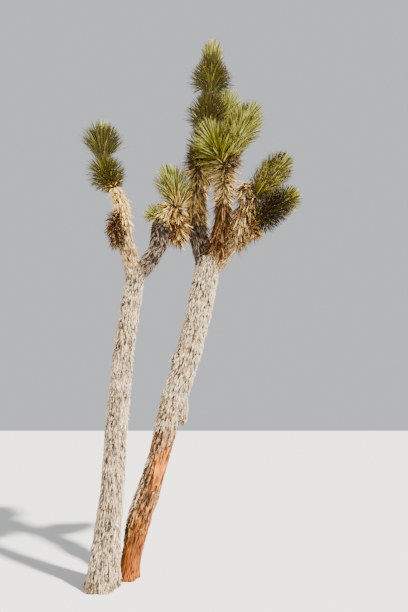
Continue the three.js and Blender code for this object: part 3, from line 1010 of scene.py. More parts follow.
@dataclass
class Bark:
    """The bark of every limb: upright corky flakes parted by fissures, and frayed fibres that hang off it.

    Each limb brings the size of its flakes and the length and number of its fibres. The constants down to
    MIDDLE shape the flakes, in shares of their size and of the relief. STREAK_DEPTH is in metres, and
    FIBRE_HALF is a share of a fibre's length.
    """

    relief: float = 0.017
    swell: float = 0.012
    wood_recess: float = 0.007
    ground_clearance: float = 0.1
    bare_finish: BareWoodFinish = BARE_WOOD
    weave: Gaps = Gaps(0.95, (0.055, 0.014), 0.85)
    furrow: Gaps = Gaps(0.75, (0.095, 0.15), 0.7)
    hatch: Gaps = Gaps(1.7, (0.06, 0.016), 0.62)
    lift: tuple[float, float] = (0.02, 0.26)
    sway: float = 0.14
    fibre_sizes: tuple[float, float] = (0.45, 1.2)

    WANDER_SCALE = 0.55
    WANDER = 0.9
    LEVEL = 0.6
    LEVEL_SPREAD = 0.3
    TILT = -0.25
    ROUGH_SCALE = 2.6
    ROUGHNESS = 0.4
    DEEPEST = 0.14
    MIDDLE = 0.62
    SWELL_SCALE = (7.0, 7.0, 3.5)
    STREAK_SCALE = (60.0, 60.0, 6.0)
    STREAK_DEPTH = 0.008
    FIBRE_HALF = 0.075

    def height(self, tree: NodeTree, cells: Socket) -> tuple[Socket, Socket]:
        """Adds the nodes that shape flakes: each at a level of its own, tilted, rough and cut by gaps.

        Args:
            tree: The tree.
            cells: Coordinates in which a flake is about one wide and one long.

        Returns:
            The bark's height, about 0 to 1, and a tone that each flake has to itself.
        """
        shift = tree.vectors("SUBTRACT", tree.speckle(cells, self.WANDER_SCALE, 2.0, "Color"), (0.5,) * 3)
        bent = tree.vectors("ADD", cells, tree.vectors("SCALE", shift, scale=self.WANDER))
        flake = tree.add("ShaderNodeTexVoronoi", {"feature": "F1"}, Vector=bent, Scale=1.0)
        colour = tree.out(flake, "Color")
        drop = tree.part(tree.vectors("SUBTRACT", bent, tree.out(flake, "Position")), 2)
        level = tree.maths("MULTIPLY_ADD", tree.part(colour, 0), self.LEVEL_SPREAD, self.LEVEL)
        tilted = tree.maths("MULTIPLY_ADD", drop, self.TILT, level)
        fissures = tree.maths("MULTIPLY", self._ridges(tree, bent, self.weave),
                              self._ridges(tree, bent, self.furrow))
        cut = tree.maths("MULTIPLY", fissures, self._ridges(tree, cells, self.hatch))
        flaked = tree.maths("MULTIPLY", cut, tilted)
        rough = tree.maths("MULTIPLY_ADD", tree.speckle(cells, self.ROUGH_SCALE), self.ROUGHNESS, flaked)
        return tree.maths("SUBTRACT", rough, self.DEEPEST), tree.part(colour, 1)

    @staticmethod
    def _ridges(tree: NodeTree, place: Socket, gaps: Gaps) -> Socket:
        """Adds ridges with gaps between them.

        Args:
            tree: The tree.
            place: The coordinates that the pattern is read at.
            gaps: The pattern.

        Returns:
            1 on a ridge, and less by the pattern's depth at the bottom of a gap.
        """
        away = tree.maths("ABSOLUTE", tree.maths("SUBTRACT", tree.speckle(place, gaps.scale, 1.5), 0.5))
        heights = (1.0, 1.0 - gaps.depth) if gaps.span[0] < gaps.span[1] else (1.0 - gaps.depth, 1.0)
        ridge = tree.add("ShaderNodeMapRange", {"interpolation_type": "SMOOTHSTEP"}, Value=away,
                         From_Min=min(gaps.span), From_Max=max(gaps.span),
                         To_Min=heights[0], To_Max=heights[1])
        return tree.out(ridge, "Result")

    def relief_tree(self) -> NodeTree:
        """Makes the tree that raises flakes and cuts fissures in a limb's skin.

        Returns:
            The tree. Bare Wood picks the faces that it keeps: the barked ones at 0, the bare ones at 1.
        """
        numbers = ("Flake Width", "Flake Length", "Relief", "Swell", "Wood Recess", "Bare Wood")
        tree = NodeTree("bark_relief", {**dict.fromkeys(numbers, "NodeSocketFloat"),
                                        "Finish": "NodeSocketMaterial"})
        place = tree.attribute("limb_place")
        width = tree.inlet("Flake Width")
        size = tree.add("ShaderNodeCombineXYZ", None, X=width, Y=width, Z=tree.inlet("Flake Length"))
        height, tone = self.height(tree, tree.vectors("DIVIDE", place, size.outputs[0]))
        swells = tree.speckle(tree.vectors("MULTIPLY", place, self.SWELL_SCALE), 1.0, 1.0)
        swollen = tree.maths("MULTIPLY", tree.maths("SUBTRACT", swells, 0.5), tree.inlet("Swell"))
        above = tree.maths("SUBTRACT", height, self.MIDDLE)
        raised = tree.maths("MULTIPLY_ADD", above, tree.inlet("Relief"), swollen)
        streaks = tree.speckle(tree.vectors("MULTIPLY", place, self.STREAK_SCALE), 1.0)
        sunk = tree.maths("SUBTRACT", tree.maths("MULTIPLY", streaks, self.STREAK_DEPTH),
                          tree.inlet("Wood Recess"))
        bare = tree.attribute("bare", "FLOAT")
        mixed = tree.add("ShaderNodeMix", {"data_type": "FLOAT"}, Factor=bare, A=raised, B=sunk)
        offset = tree.vectors("SCALE", tree.attribute("outward"), scale=tree.out(mixed, "Result"))
        moved = tree.add("GeometryNodeSetPosition", None, Geometry=tree.inlet("Geometry"), Offset=offset)
        stored = tree.stored(tree.stored(moved.outputs[0], "bark_height", height), "flake_tone", tone)
        is_bare = tree.maths("GREATER_THAN", bare, 0.5)
        unlike = tree.maths("ABSOLUTE", tree.maths("SUBTRACT", is_bare, tree.inlet("Bare Wood")))
        kept = tree.add("GeometryNodeDeleteGeometry", {"domain": "FACE"}, Geometry=stored,
                        Selection=tree.maths("GREATER_THAN", unlike, 0.5))
        smooth = tree.add("GeometryNodeSetShadeSmooth", None, Geometry=kept.outputs[0])
        tree.finish(tree.painted(smooth.outputs[0], tree.inlet("Finish")))
        return tree

    def fibre_tree(self) -> NodeTree:
        """Makes the tree that scatters frayed fibres over a limb's bark.

        Returns:
            The tree, which ends in realized instances with their material.
        """
        tree = NodeTree("frayed_fibres", {
            "Density": "NodeSocketFloat", "Fibre Length": "NodeSocketFloat", "Seed": "NodeSocketInt",
            "Clearance": "NodeSocketFloat", "Fibre": "NodeSocketObject", "Finish": "NodeSocketMaterial"})
        height = tree.part(tree.add("GeometryNodeInputPosition").outputs[0], 2)
        clear = tree.maths("GREATER_THAN", height, tree.inlet("Clearance"))
        grey_bark = tree.maths("LESS_THAN", tree.attribute("rusty", "FLOAT"), 0.5)
        spots = tree.add("GeometryNodeDistributePointsOnFaces", None, Mesh=tree.inlet("Geometry"),
                         Selection=tree.maths("MULTIPLY", grey_bark, clear), Density=tree.inlet("Density"),
                         Seed=tree.inlet("Seed"))
        outward = tree.attribute("outward")
        lifted = tree.vectors("SCALE", outward, scale=tree.random(*self.lift, 1))
        hanging = tree.vectors("SUBTRACT", lifted, tree.attribute("grows_along"))
        way = tree.vectors("ADD", hanging, tree.random((-self.sway,) * 3, (self.sway,) * 3, 2))
        length = tree.maths("MULTIPLY", tree.random(*self.fibre_sizes, 3), tree.inlet("Fibre Length"))
        shape = tree.out(tree.add("GeometryNodeObjectInfo", None, Object=tree.inlet("Fibre")), "Geometry")
        real = tree.planted(spots.outputs["Points"], way, "Y", outward, shape, Scale=length)
        tree.finish(tree.painted(real, tree.inlet("Finish")))
        return tree

    def fibre(self) -> bpy.types.Object:
        """Builds one frayed fibre of length one: a thin, slightly bent sliver on +Z.

        Returns:
            The fibre, which is removed after use.
        """
        half = self.FIBRE_HALF
        points = [(-half, -0.05, 0), (half, -0.05, 0), (0, 0.05, 0),
                  (-half, 0.02, 0.5), (half, 0.02, 0.5), (0, 0.1, 0.5), (0, 0.16, 1)]
        faces = [(0, 2, 1), (0, 1, 4, 3), (1, 2, 5, 4), (2, 0, 3, 5), (3, 4, 6), (4, 5, 6), (5, 3, 6)]
        return bpy.data.objects.new("fibre", new_mesh("fibre", points, faces))

    def dress(self, limbs: Sequence[Limb]) -> None:
        """Gives every limb its bark, its bare wood and its fibres, ties the pieces to their body and hides
        the nodes that they replace.

        Args:
            limbs: The limbs.
        """
        relief, fibres, fibre = self.relief_tree(), self.fibre_tree(), self.fibre()
        finishes = {finish: finish.make() for finish in (TRUNK_BARK, SILVER_BARK, BOUGH_BARK, GREY_SHADED_BARK)}
        bare = self.bare_finish.make()
        shreds = {finish: finish.make() for finish in (FRAYED, SHREDS, GREY_SHADED_SHREDS)}
        for number, limb in enumerate(limbs):
            skin = limb.skin()
            sizes = {"Flake Width": limb.flake[0], "Flake Length": limb.flake[1], "Relief": self.relief,
                     "Swell": self.swell, "Wood Recess": self.wood_recess}
            bark = relief.grow(f"{limb.name}_bark", skin.copy(),
                               {**sizes, "Bare Wood": 0.0, "Finish": finishes[limb.finish]})
            attach(bark, Slot.BARK, limb.name)
            if limb.bare:
                wood = relief.grow(f"{limb.name}_bare_wood", skin.copy(),
                                   {**sizes, "Bare Wood": 1.0, "Finish": bare})
                attach(wood, Slot.BARE_WOOD, limb.name)
            frayed = fibres.grow(f"{limb.name}_fibres", skin, {
                "Density": limb.fray[1], "Fibre Length": limb.fray[0], "Seed": number,
                "Clearance": self.ground_clearance, "Fibre": fibre, "Finish": shreds[limb.shreds]})
            attach(frayed, Slot.BARK, limb.name)
        bpy.data.objects.remove(fibre)


@dataclass(frozen=True)
class Blade:
    """The outline of one kind of leaf, as a unit-long blade on +Z with a keel under it."""

    name: str
    sections: Sequence[tuple[float, float]]
    bends: Sequence[float]
    root_zone: int = 1

    def shapes(self) -> list[bpy.types.Object]:
        """Builds one blade for each bend. They are removed after use."""
        return [self._shape(f"{self.name}_{number}", bend) for number, bend in enumerate(self.bends)]

    def _shape(self, name: str, bend: float) -> bpy.types.Object:
        """Builds one blade.

        Args:
            name: Its name.
            bend: How far its tip leaves the straight line, as a share of its length.

        Returns:
            The blade, one wide and one thick at its widest.
        """
        points: list[Point] = []
        for height, width in self.sections:
            sag = bend * height * height
            points += [(-width / 2, sag, height), (width / 2, sag, height), (0, sag - width / 2, height)]
        points.append((0, bend, 1.0))
        rows = len(self.sections)
        faces: list[tuple[int, ...]] = [(0, 1, 2)]
        zones = [Zone.ROOT.value]
        for row in range(rows - 1):
            for side in range(3):
                low, high = 3 * row + side, 3 * row + (side + 1) % 3
                faces.append((low, low + 3, high + 3, high))
                zones.append(Zone.ROOT.value if row < self.root_zone else Zone.BLADE.value)
        for side in range(3):
            low, high = 3 * (rows - 1) + side, 3 * (rows - 1) + (side + 1) % 3
            faces.append((low, 3 * rows, high))
            zones.append(Zone.SPINE.value)
        mesh = new_mesh(name, points, faces)
        mesh.attributes.new("zone", "INT", "FACE").data.foreach_set("value", zones)
        return bpy.data.objects.new(name, mesh)


GREEN_BLADE = Blade("green_blade", ((0.0, 0.8), (0.14, 0.95), (0.45, 1.0), (0.74, 0.78), (0.9, 0.44)),
                    (-0.05, 0.02, 0.06))
DEAD_BLADE = Blade("dead_blade", ((0.0, 1.0), (0.2, 1.0), (0.6, 0.85), (0.9, 0.4)),
                   (-0.2, -0.05, 0.12, 0.26))


@dataclass(frozen=True)
class Habit:
    """How the leaves of one kind of mass grow.

    A leaf's thickness is a share of its width, and it starts at root_share of the stem's radius. Its length,
    its angle in degrees, its way and its roll vary by length_spread, angle_spread, stray and roll. The shaded
    stem fills core_share of the radius.
    """

    slot: Slot
    leaves_per_metre: int
    width: float
    thickness: float
    root_share: float
    length_spread: float
    angle_spread: float
    stray: float
    roll: float
    blade: Blade
    core_share: float


ROSETTE_HABIT = Habit(Slot.GREEN, 1850, width=0.012, thickness=0.4, root_share=0.5, length_spread=0.2,
                      angle_spread=10.0, stray=0.04, roll=0.4, blade=GREEN_BLADE, core_share=0.66)
THATCH_HABIT = Habit(Slot.THATCH, 2350, width=0.0132, thickness=0.25, root_share=0.62, length_spread=0.6,
                     angle_spread=20.0, stray=0.14, roll=1.5, blade=DEAD_BLADE, core_share=0.74)

# Radius of a rosette's leafy stem: one that goes on into the next rosette, and one that ends
ROSETTE_CORE: Stops = ((0, 0.074), (0.35, 0.112), (0.75, 0.092), (1, 0.074))
TIP_CORE: Stops = ((0, 0.074), (0.4, 0.112), (0.75, 0.092), (1, 0.036))


@dataclass
class LeafMass:
    """Leaves that follow one another round an arm by the golden angle.

    Start and end are distances along the arm, leaf is a leaf's length, and leans gives the angle in degrees
    between the leaves and the arm, from the mass's foot to its top. Hang tells how far gravity bends them,
    spines how many have a dry spine, slim how thin the stem is, and node which CAD node the mass stands for
    if it isn't the one of its own name.
    """

    name: str
    arm: str
    start: float
    end: float
    leaf: float
    leans: Stops
    tints: Sequence[tuple[LeafFinish, float]]
    radii: Stops = TIP_CORE
    hang: float = 0.0
    spines: float = 1.0
    slim: float = 1.0
    density: float = 1.0
    lengths: Stops = ((0, 0.85), (0.4, 1), (1, 1))
    node: str = ""
    habit: Habit = ROSETTE_HABIT

    FEWEST_LEAVES = 50
    LEAST_OUTWARD = 0.15
    LEAN_SPREAD = 0.6
    WIDTHS = (0.8, 1.2)
    HANGS = (0.6, 1.4)
    SPINES_LOST = 0.9
    FEWEST_STEPS = 6
    CORE_SIDES = 16
    CORE_STEP = 0.03
    CORE_BUMP = 0.12
    CORE_BUMPS_ROUND = 5
    CORE_BUMPS_ALONG = 9

    def places(self, shares: np.ndarray) -> Places:
        """Reads places along the mass's stretch of its arm."""
        return MiddleLine(ARMS[self.arm]).at(self.start + shares * (self.end - self.start))

    def core_radii(self, shares: np.ndarray) -> np.ndarray:
        """Gives the core's radius at shares of its length."""
        return read_stops(self.radii, shares) * self.slim

    def leaves(self) -> dict[str, np.ndarray]:
        """Works out every leaf by the rule: its root, its way, its roll and its size.

        Returns:
            Arrays with one row for each leaf: root, way, across, size and share.
        """
        numbers = seeded(self.name)
        habit = self.habit
        wanted = round(habit.leaves_per_metre * self.density * (self.end - self.start))
        count = max(self.FEWEST_LEAVES, wanted)
        share = (np.arange(count) + 0.5) / count
        place = self.places(share)
        angle = np.arange(count) * GOLDEN_ANGLE
        outward = place.side * np.cos(angle)[:, None] + place.front * np.sin(angle)[:, None]
        lean = read_stops(self.leans, share)
        lean = lean + habit.angle_spread * numbers.normal(0, self.LEAN_SPREAD, count)
        lean = np.radians(lean)[:, None]
        way = place.along * np.cos(lean) + outward * np.sin(lean)
        if self.hang:
            hang = self.hang * numbers.uniform(*self.HANGS, count)[:, None]
            way = unit(way * (1 - hang) - UP * hang)
            short = self.LEAST_OUTWARD - np.sum(way * outward, 1, keepdims=True)
            way = unit(way + outward * np.maximum(short, 0))
        way = unit(way + habit.stray * numbers.normal(0, 1, (count, 3)))
        radius = self.core_radii(share)
        root = place.centre + outward * (radius * habit.root_share)[:, None]
        shortened = 1 - habit.length_spread * numbers.random(count)
        length = self.leaf * read_stops(self.lengths, share) * shortened + radius * (1 - habit.root_share)
        across = unit(np.cross(place.along, way))
        roll = habit.roll * numbers.uniform(-1, 1, count)[:, None]
        across = unit(across * np.cos(roll) + np.cross(way, across) * np.sin(roll))
        width = habit.width * numbers.uniform(*self.WIDTHS, count)
        size = np.stack([width, width * habit.thickness, length], 1)
        return {"root": root, "way": way, "across": across, "size": size, "share": share}

    def tint_of(self, share: np.ndarray) -> np.ndarray:
        """Deals out tints by their weights, and then ages them in the way of the mass's kind.

        Args:
            share: Each leaf's place from the foot of the mass to its top.

        Returns:
            Each leaf's number in TINTS.
        """
        numbers = seeded(self.name + "_tints")
        names = [TINTS.index(tint) for tint, _ in self.tints]
        weights = np.array([weight for _, weight in self.tints])
        tints = numbers.choice(names, len(share), p=weights / weights.sum())
        return self.weathered(tints, share, numbers)

    def weathered(self, tints: np.ndarray, share: np.ndarray, numbers: np.random.Generator) -> np.ndarray:
        """Changes some tints with the leaves' age: none, unless the kind of mass says otherwise."""
        return tints

    def spined(self, share: np.ndarray) -> np.ndarray:
        """Picks the leaves with a dry, brown spine: fewer and fewer towards the top."""
        return seeded(self.name + "_age").random(len(share)) < self.spines * (1 - share * self.SPINES_LOST)

    def core(self, share_of_radius: float) -> tuple[np.ndarray, list[list[int]]]:
        """Builds the stem that the leaves stand on, as plain rings.

        Args:
            share_of_radius: How much of the solid's core it fills.

        Returns:
            Points and faces of a closed tube.
        """
        sides = self.CORE_SIDES
        steps = max(self.FEWEST_STEPS, round((self.end - self.start) / self.CORE_STEP))
        shares = np.linspace(0, 1, steps + 1)
        place = self.places(shares)
        angles = np.arange(sides) * 2 * math.pi / sides
        radius = self.core_radii(shares) * share_of_radius
        waves = np.sin(self.CORE_BUMPS_ROUND * angles + self.CORE_BUMPS_ALONG * shares[:, None] * math.pi)
        reach = (radius[:, None] * (1 + self.CORE_BUMP * waves))[..., None]
        points = place.centre[:, None] + reach * place.outward(angles)
        faces = tube_faces(steps + 1, sides)
        faces.append(list(range(sides))[::-1])
        faces.append([steps * sides + side for side in range(sides)])
        return points.reshape(-1, 3), faces


@dataclass
class Rosette(LeafMass):
    """A head of green dagger leaves, some dry at its foot and some pale at its tip."""

    dry_foot: float = 0.5
    pale_tip: float = 0.0

    DRY_STOPS = ((0, 1.0), (0.08, 0.5), (0.22, 0.0))
    PALE_STOPS = ((0.66, 0.0), (0.86, 0.5), (1, 0.9))

    def weathered(self, tints: np.ndarray, share: np.ndarray, numbers: np.random.Generator) -> np.ndarray:
        """Dries some of the lowest leaves and makes those at a growing tip pale.

        Args:
            tints: Each leaf's number in TINTS.
            share: Its place from the foot of the mass to its top.
            numbers: The mass's random numbers.

        Returns:
            The tints after that.
        """
        chance = numbers.random(len(share))
        dry = chance < self.dry_foot * read_stops(self.DRY_STOPS, share)
        dead = numbers.choice([TINTS.index(tint) for tint in (TAN, BROWN, STRAW)], len(share))
        tints = np.where(dry, dead, tints)
        pale = chance > 1 - self.pale_tip * read_stops(self.PALE_STOPS, share)
        return np.where(pale, TINTS.index(CREAM), tints)


@dataclass
class Thatch(LeafMass):
    """A skirt or a tuft of dead leaves, some weathered to grey at its foot."""

    grey_foot: float = 0.0
    habit: Habit = THATCH_HABIT

    GREY_STOPS = ((0.05, 1.0), (0.4, 0.0))

    def weathered(self, tints: np.ndarray, share: np.ndarray, numbers: np.random.Generator) -> np.ndarray:
        """Greys some of the lowest leaves."""
        greyed = numbers.random(len(share)) < self.grey_foot * read_stops(self.GREY_STOPS, share)
        return np.where(greyed, TINTS.index(GREY), tints)


# Shares of the tints in a mass, by its look in the photograph
SHADY_GREEN = ((OLIVE, 0.8), (GREEN, 0.17), (YELLOW, 0.03))
SUNNY_GREEN = ((OLIVE, 0.24), (GREEN, 0.32), (YELLOW, 0.3), (CREAM, 0.14))
MIXED_GREEN = ((OLIVE, 0.56), (GREEN, 0.28), (YELLOW, 0.15), (CREAM, 0.01))
SILVERY_GREEN = ((OLIVE, 0.42), (GREEN, 0.3), (YELLOW, 0.14), (CREAM, 0.14))
CAP_GREEN = ((GREEN, 0.42), (YELLOW, 0.32), (CREAM, 0.26))
FAN_GREEN = ((OLIVE, 0.24), (GREEN, 0.26), (YELLOW, 0.2), (CREAM, 0.3))
BACK_GREEN = ((OLIVE, 0.1), (GREEN, 0.16), (YELLOW, 0.32), (CREAM, 0.42))
RIM_GREEN = ((OLIVE, 0.3), (GREEN, 0.36), (YELLOW, 0.2), (CREAM, 0.14))
# Painted shade: mostly the near-black SHADOW tint, for a whorl that lies in the shadow of the rosette above
# it
SHADOWED_GREEN = ((SHADOW, 0.5), (OLIVE, 0.3), (BROWN, 0.16), (YELLOW, 0.04))
STRAWY = ((STRAW, 0.46), (TAN, 0.22), (BROWN, 0.24), (GREY, 0.08))
PALE_STRAW = ((STRAW, 0.62), (TAN, 0.12), (BROWN, 0.26))
SILVERY_STRAW = ((GREY, 0.34), (STRAW, 0.4), (TAN, 0.06), (BROWN, 0.2))
SPIKY_GREY = ((GREY, 0.4), (BROWN, 0.54), (TAN, 0.06))
MIXED_STRAW = ((STRAW, 0.3), (TAN, 0.16), (BROWN, 0.46), (GREY, 0.08))
NECK_STRAW = ((STRAW, 0.94), (TAN, 0.06))
SPIRE_STRAW = ((STRAW, 0.44), (TAN, 0.04), (BROWN, 0.3), (GREY, 0.22))
BROWNISH = ((TAN, 0.3), (BROWN, 0.4), (STRAW, 0.24), (RUST, 0.06))
RUSTY = ((RUST, 0.5), (BROWN, 0.46), (TAN, 0.04))
DARKISH = ((BROWN, 0.56), (RUST, 0.16), (GREY, 0.16), (TAN, 0.12))
GREYISH = ((GREY, 0.46), (TAN, 0.02), (STRAW, 0.48), (BROWN, 0.04))


def attach(piece: bpy.types.Object, slot: Slot, *nodes: str) -> None:
    """Ties a finished piece to its body, hides the CAD nodes that it stands for, and reports it.

    Args:
        piece: The piece.
        slot: The record's material slot; not used.
        *nodes: The CAD nodes that it replaces.
    """
    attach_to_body(piece, BODY)
    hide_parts(*nodes)
    triangles = sum(len(polygon.vertices) - 2 for polygon in piece.data.polygons)
    LOG.info("%s: %d triangles, stands for %s", piece.name, triangles, ", ".join(nodes))


@dataclass
class LeafGrower:
    """Grows the leaves of the masses, keeps them clear of limbs and other stems, and joins them by arm."""

    limbs: Sequence[Limb]
    masses: Sequence[LeafMass]
    clear_from: float = 0.3

    SHAPE_CHOICES = 12
    AGED_STEP = 10

    def blade_tree(self, finishes: Sequence[bpy.types.Material]) -> NodeTree:
        """Makes the tree that sets a blade on every point and deals out the tints.

        Args:
            finishes: The materials, in the order of TINTS.

        Returns:
            The tree, which ends in realized instances with their materials.
        """
        tree = NodeTree("blades_on_points", {"Blades": "NodeSocketCollection"})
        blades = tree.add("GeometryNodeCollectionInfo", None, Collection=tree.inlet("Blades"),
                          Separate_Children=True)
        geometry = tree.planted(
            tree.inlet("Geometry"), tree.attribute("way"), "X", tree.attribute("across"), blades.outputs[0],
            Pick_Instance=True, Instance_Index=tree.attribute("shape", "INT"), Scale=tree.attribute("size"))
        tint = tree.attribute("tint", "INT")
        for number, finish in enumerate(finishes[:-2]):
            geometry = self._tinted(tree, geometry, tint, number, finish)
        zone = tree.attribute("zone", "INT")
        geometry = self._tinted(tree, geometry, zone, Zone.ROOT.value, finishes[-2])
        aged = tree.maths("MULTIPLY_ADD", tree.attribute("aged", "FLOAT"), self.AGED_STEP, zone)
        geometry = self._tinted(tree, geometry, aged, self.AGED_STEP + Zone.SPINE.value, finishes[-1])
        tree.finish(geometry)
        return tree

    @staticmethod
    def _tinted(tree: NodeTree, geometry: Socket, key: Socket, number: int,
                finish: bpy.types.Material) -> Socket:
        """Adds a step that gives a material to the faces whose key is a number."""
        same = tree.add("FunctionNodeCompare", {"data_type": "INT", "operation": "EQUAL"}, A=key, B=number)
        return tree.painted(geometry, finish, same.outputs[0])

    def obstacles(self) -> tuple[BVHTree, dict[str, BVHTree]]:
        """Gathers what leaves keep clear of.

        Returns:
            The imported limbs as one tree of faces, and each mass's own stem.
        """
        points: list[Vector] = []
        faces: list[list[int]] = []
        for limb in self.limbs:
            mesh = frame["nodes"][limb.name].data
            offset = len(points)
            points += [vertex.co.copy() for vertex in mesh.vertices]
            faces += [[offset + index for index in polygon.vertices] for polygon in mesh.polygons]
        stems = {}
        for mass in self.masses:
            stem_points, stem_faces = mass.core(1.0)
            stems[mass.name] = BVHTree.FromPolygons(stem_points.tolist(), stem_faces)
        return BVHTree.FromPolygons(points, faces), stems

    def clear(self, mass: LeafMass, leaves: dict[str, np.ndarray], limbs: BVHTree,
              stems: dict[str, BVHTree]) -> np.ndarray:
        """Picks the leaves that touch no limb and no other mass's stem.

        Args:
            mass: The mass that they grow on.
            leaves: The leaves.
            limbs: The limbs.
            stems: Every mass's stem.

        Returns:
            The numbers of the leaves that stay.
        """
        others = [limbs] + [stem for name, stem in stems.items() if name != mass.name]
        kept = []
        for number in range(len(leaves["root"])):
            root, way = Vector(leaves["root"][number]), Vector(leaves["way"][number])
            length = float(leaves["size"][number, 2])
            begin = root + way * length * self.clear_from
            rest = length * (1 - self.clear_from)
            if all(other.ray_cast(begin, way, rest)[0] is None for other in others):
                kept.append(number)
        return np.array(kept, int)

    def points(self, name: str, masses: Sequence[LeafMass], limbs: BVHTree,
               stems: dict[str, BVHTree]) -> bpy.types.Mesh:
        """Lays out the leaves of several masses as points with the attributes that blades need.

        Args:
            name: The mesh's name.
            masses: The masses.
            limbs: The limbs.
            stems: Every mass's stem.

        Returns:
            The points.
        """
        keys = ("root", "way", "across", "size", "tint", "aged")
        gathered: dict[str, list[np.ndarray]] = {key: [] for key in keys}
        for mass in masses:
            leaves = mass.leaves()
            leaves["tint"] = mass.tint_of(leaves["share"])
            leaves["aged"] = mass.spined(leaves["share"])
            kept = self.clear(mass, leaves, limbs, stems)
            for key, rows in gathered.items():
                rows.append(leaves[key][kept])
        joined = {key: np.concatenate(rows) for key, rows in gathered.items()}
        roots = joined.pop("root")
        joined["shape"] = seeded(name).integers(0, self.SHAPE_CHOICES, len(roots))
        mesh = new_mesh(name, roots.tolist(), [])
        for key, values in joined.items():
            store(mesh, key, values)
        return mesh

    def cores(self, name: str, masses: Sequence[LeafMass], finish: bpy.types.Material) -> bpy.types.Object:
        """Builds the shaded stems under the leaves of several masses as one piece.

        Args:
            name: The piece's name.
            masses: The masses.
            finish: Its material.

        Returns:
            The piece.
        """
        points: list[list[float]] = []
        faces: list[list[int]] = []
        for mass in masses:
            stem_points, stem_faces = mass.core(mass.habit.core_share)
            faces += [[index + len(points) for index in face] for face in stem_faces]
            points += stem_points.tolist()
        mesh = new_mesh(name, points, faces)
        mesh.materials.append(finish)
        return new_object(name, mesh)

    def dress(self, groups: dict[str, Sequence[str]]) -> None:
        """Grows every mass, joined into the named pieces.

        Args:
            groups: Piece names, each with the names of the masses in it.
        """
        shaded = CORE.make()
        tree = self.blade_tree([tint.make() for tint in TINTS])
        blades = {habit: blade_collection(habit.blade) for habit in (THATCH_HABIT, ROSETTE_HABIT)}
        limbs, stems = self.obstacles()
        by_name = {mass.name: mass for mass in self.masses}
        for name, members in groups.items():
            masses = [by_name[member] for member in members]
            nodes = list(dict.fromkeys(mass.node or mass.name for mass in masses))
            habit = masses[0].habit
            slot = habit.slot if name != "young_leaves_spire" else Slot.YOUNG
            leaves = tree.grow(name, self.points(f"{name}_points", masses, limbs, stems),
                               {"Blades": blades[habit]})
            attach(leaves, slot, *nodes)
            attach(self.cores(f"{name}_stems", masses, shaded), slot, *nodes)
        for collection in blades.values():
            for blade in list(collection.objects):
                bpy.data.objects.remove(blade)
            bpy.data.collections.remove(collection)


def blade_collection(blade: Blade) -> bpy.types.Collection:
    """Puts a blade's shapes in a collection that a tree can pick from.

    Args:
        blade: The blade.

    Returns:
        The collection, which isn't part of the scene.
    """
    collection = bpy.data.collections.new(blade.name)
    for shape in blade.shapes():
        collection.objects.link(shape)
    return collection


@dataclass
class Studio:
    """The studio: a pale floor, soft light with a high sun from the right, and the photograph's camera."""

    eye: Point = (0.8096, -4.9013, 1.6)
    look_up_degrees: float = 15.611
    lens: float = 24.0
    sensor: float = 36.0
    far: float = 500.0
    floor_half: float = 60.0
    sun_strength: float = 15.5
    sun_colour: Point = (1.0, 0.965, 0.9)
    sun_angle_degrees: float = 3.0
    sun_from: Point = (0.68, -0.48, 1.02)
    sky_strength: float = 0.75
    sky_colour: Colour = (0.86, 0.9, 0.95, 1.0)

    def camera(self) -> None:
        """Places the camera where the photograph was taken from."""
        lens = bpy.data.cameras.new("camera")
        lens.lens = self.lens
        lens.sensor_width = self.sensor
        lens.clip_end = self.far
        camera = new_object("camera", lens)
        camera.location = self.eye
        camera.rotation_euler = (math.radians(90 + self.look_up_degrees), 0, 0)
        bpy.context.scene.camera = camera

    def light(self) -> None:
        """Sets up the sun and the pale surroundings."""
        sun = bpy.data.lights.new("sun", "SUN")
        sun.energy = self.sun_strength
        sun.angle = math.radians(self.sun_angle_degrees)
        sun.color = self.sun_colour
        lamp = new_object("sun", sun)
        lamp.rotation_euler = Vector(self.sun_from).to_track_quat("Z", "Y").to_euler()
        world = bpy.data.worlds.new("studio")
        world.use_nodes = True
        surroundings = world.node_tree.nodes["Background"]
        surroundings.inputs["Color"].default_value = self.sky_colour
        surroundings.inputs["Strength"].default_value = self.sky_strength
        bpy.context.scene.world = world

    def floor(self) -> None:
        """Lays the floor at ground level."""
        half = self.floor_half
        corners = [(-half, -half, 0), (half, -half, 0), (half, half, 0), (-half, half, 0)]
        mesh = new_mesh("floor", corners, [(0, 1, 2, 3)])
        mesh.materials.append(FloorFinish().make())
        floor = new_object("floor", mesh)


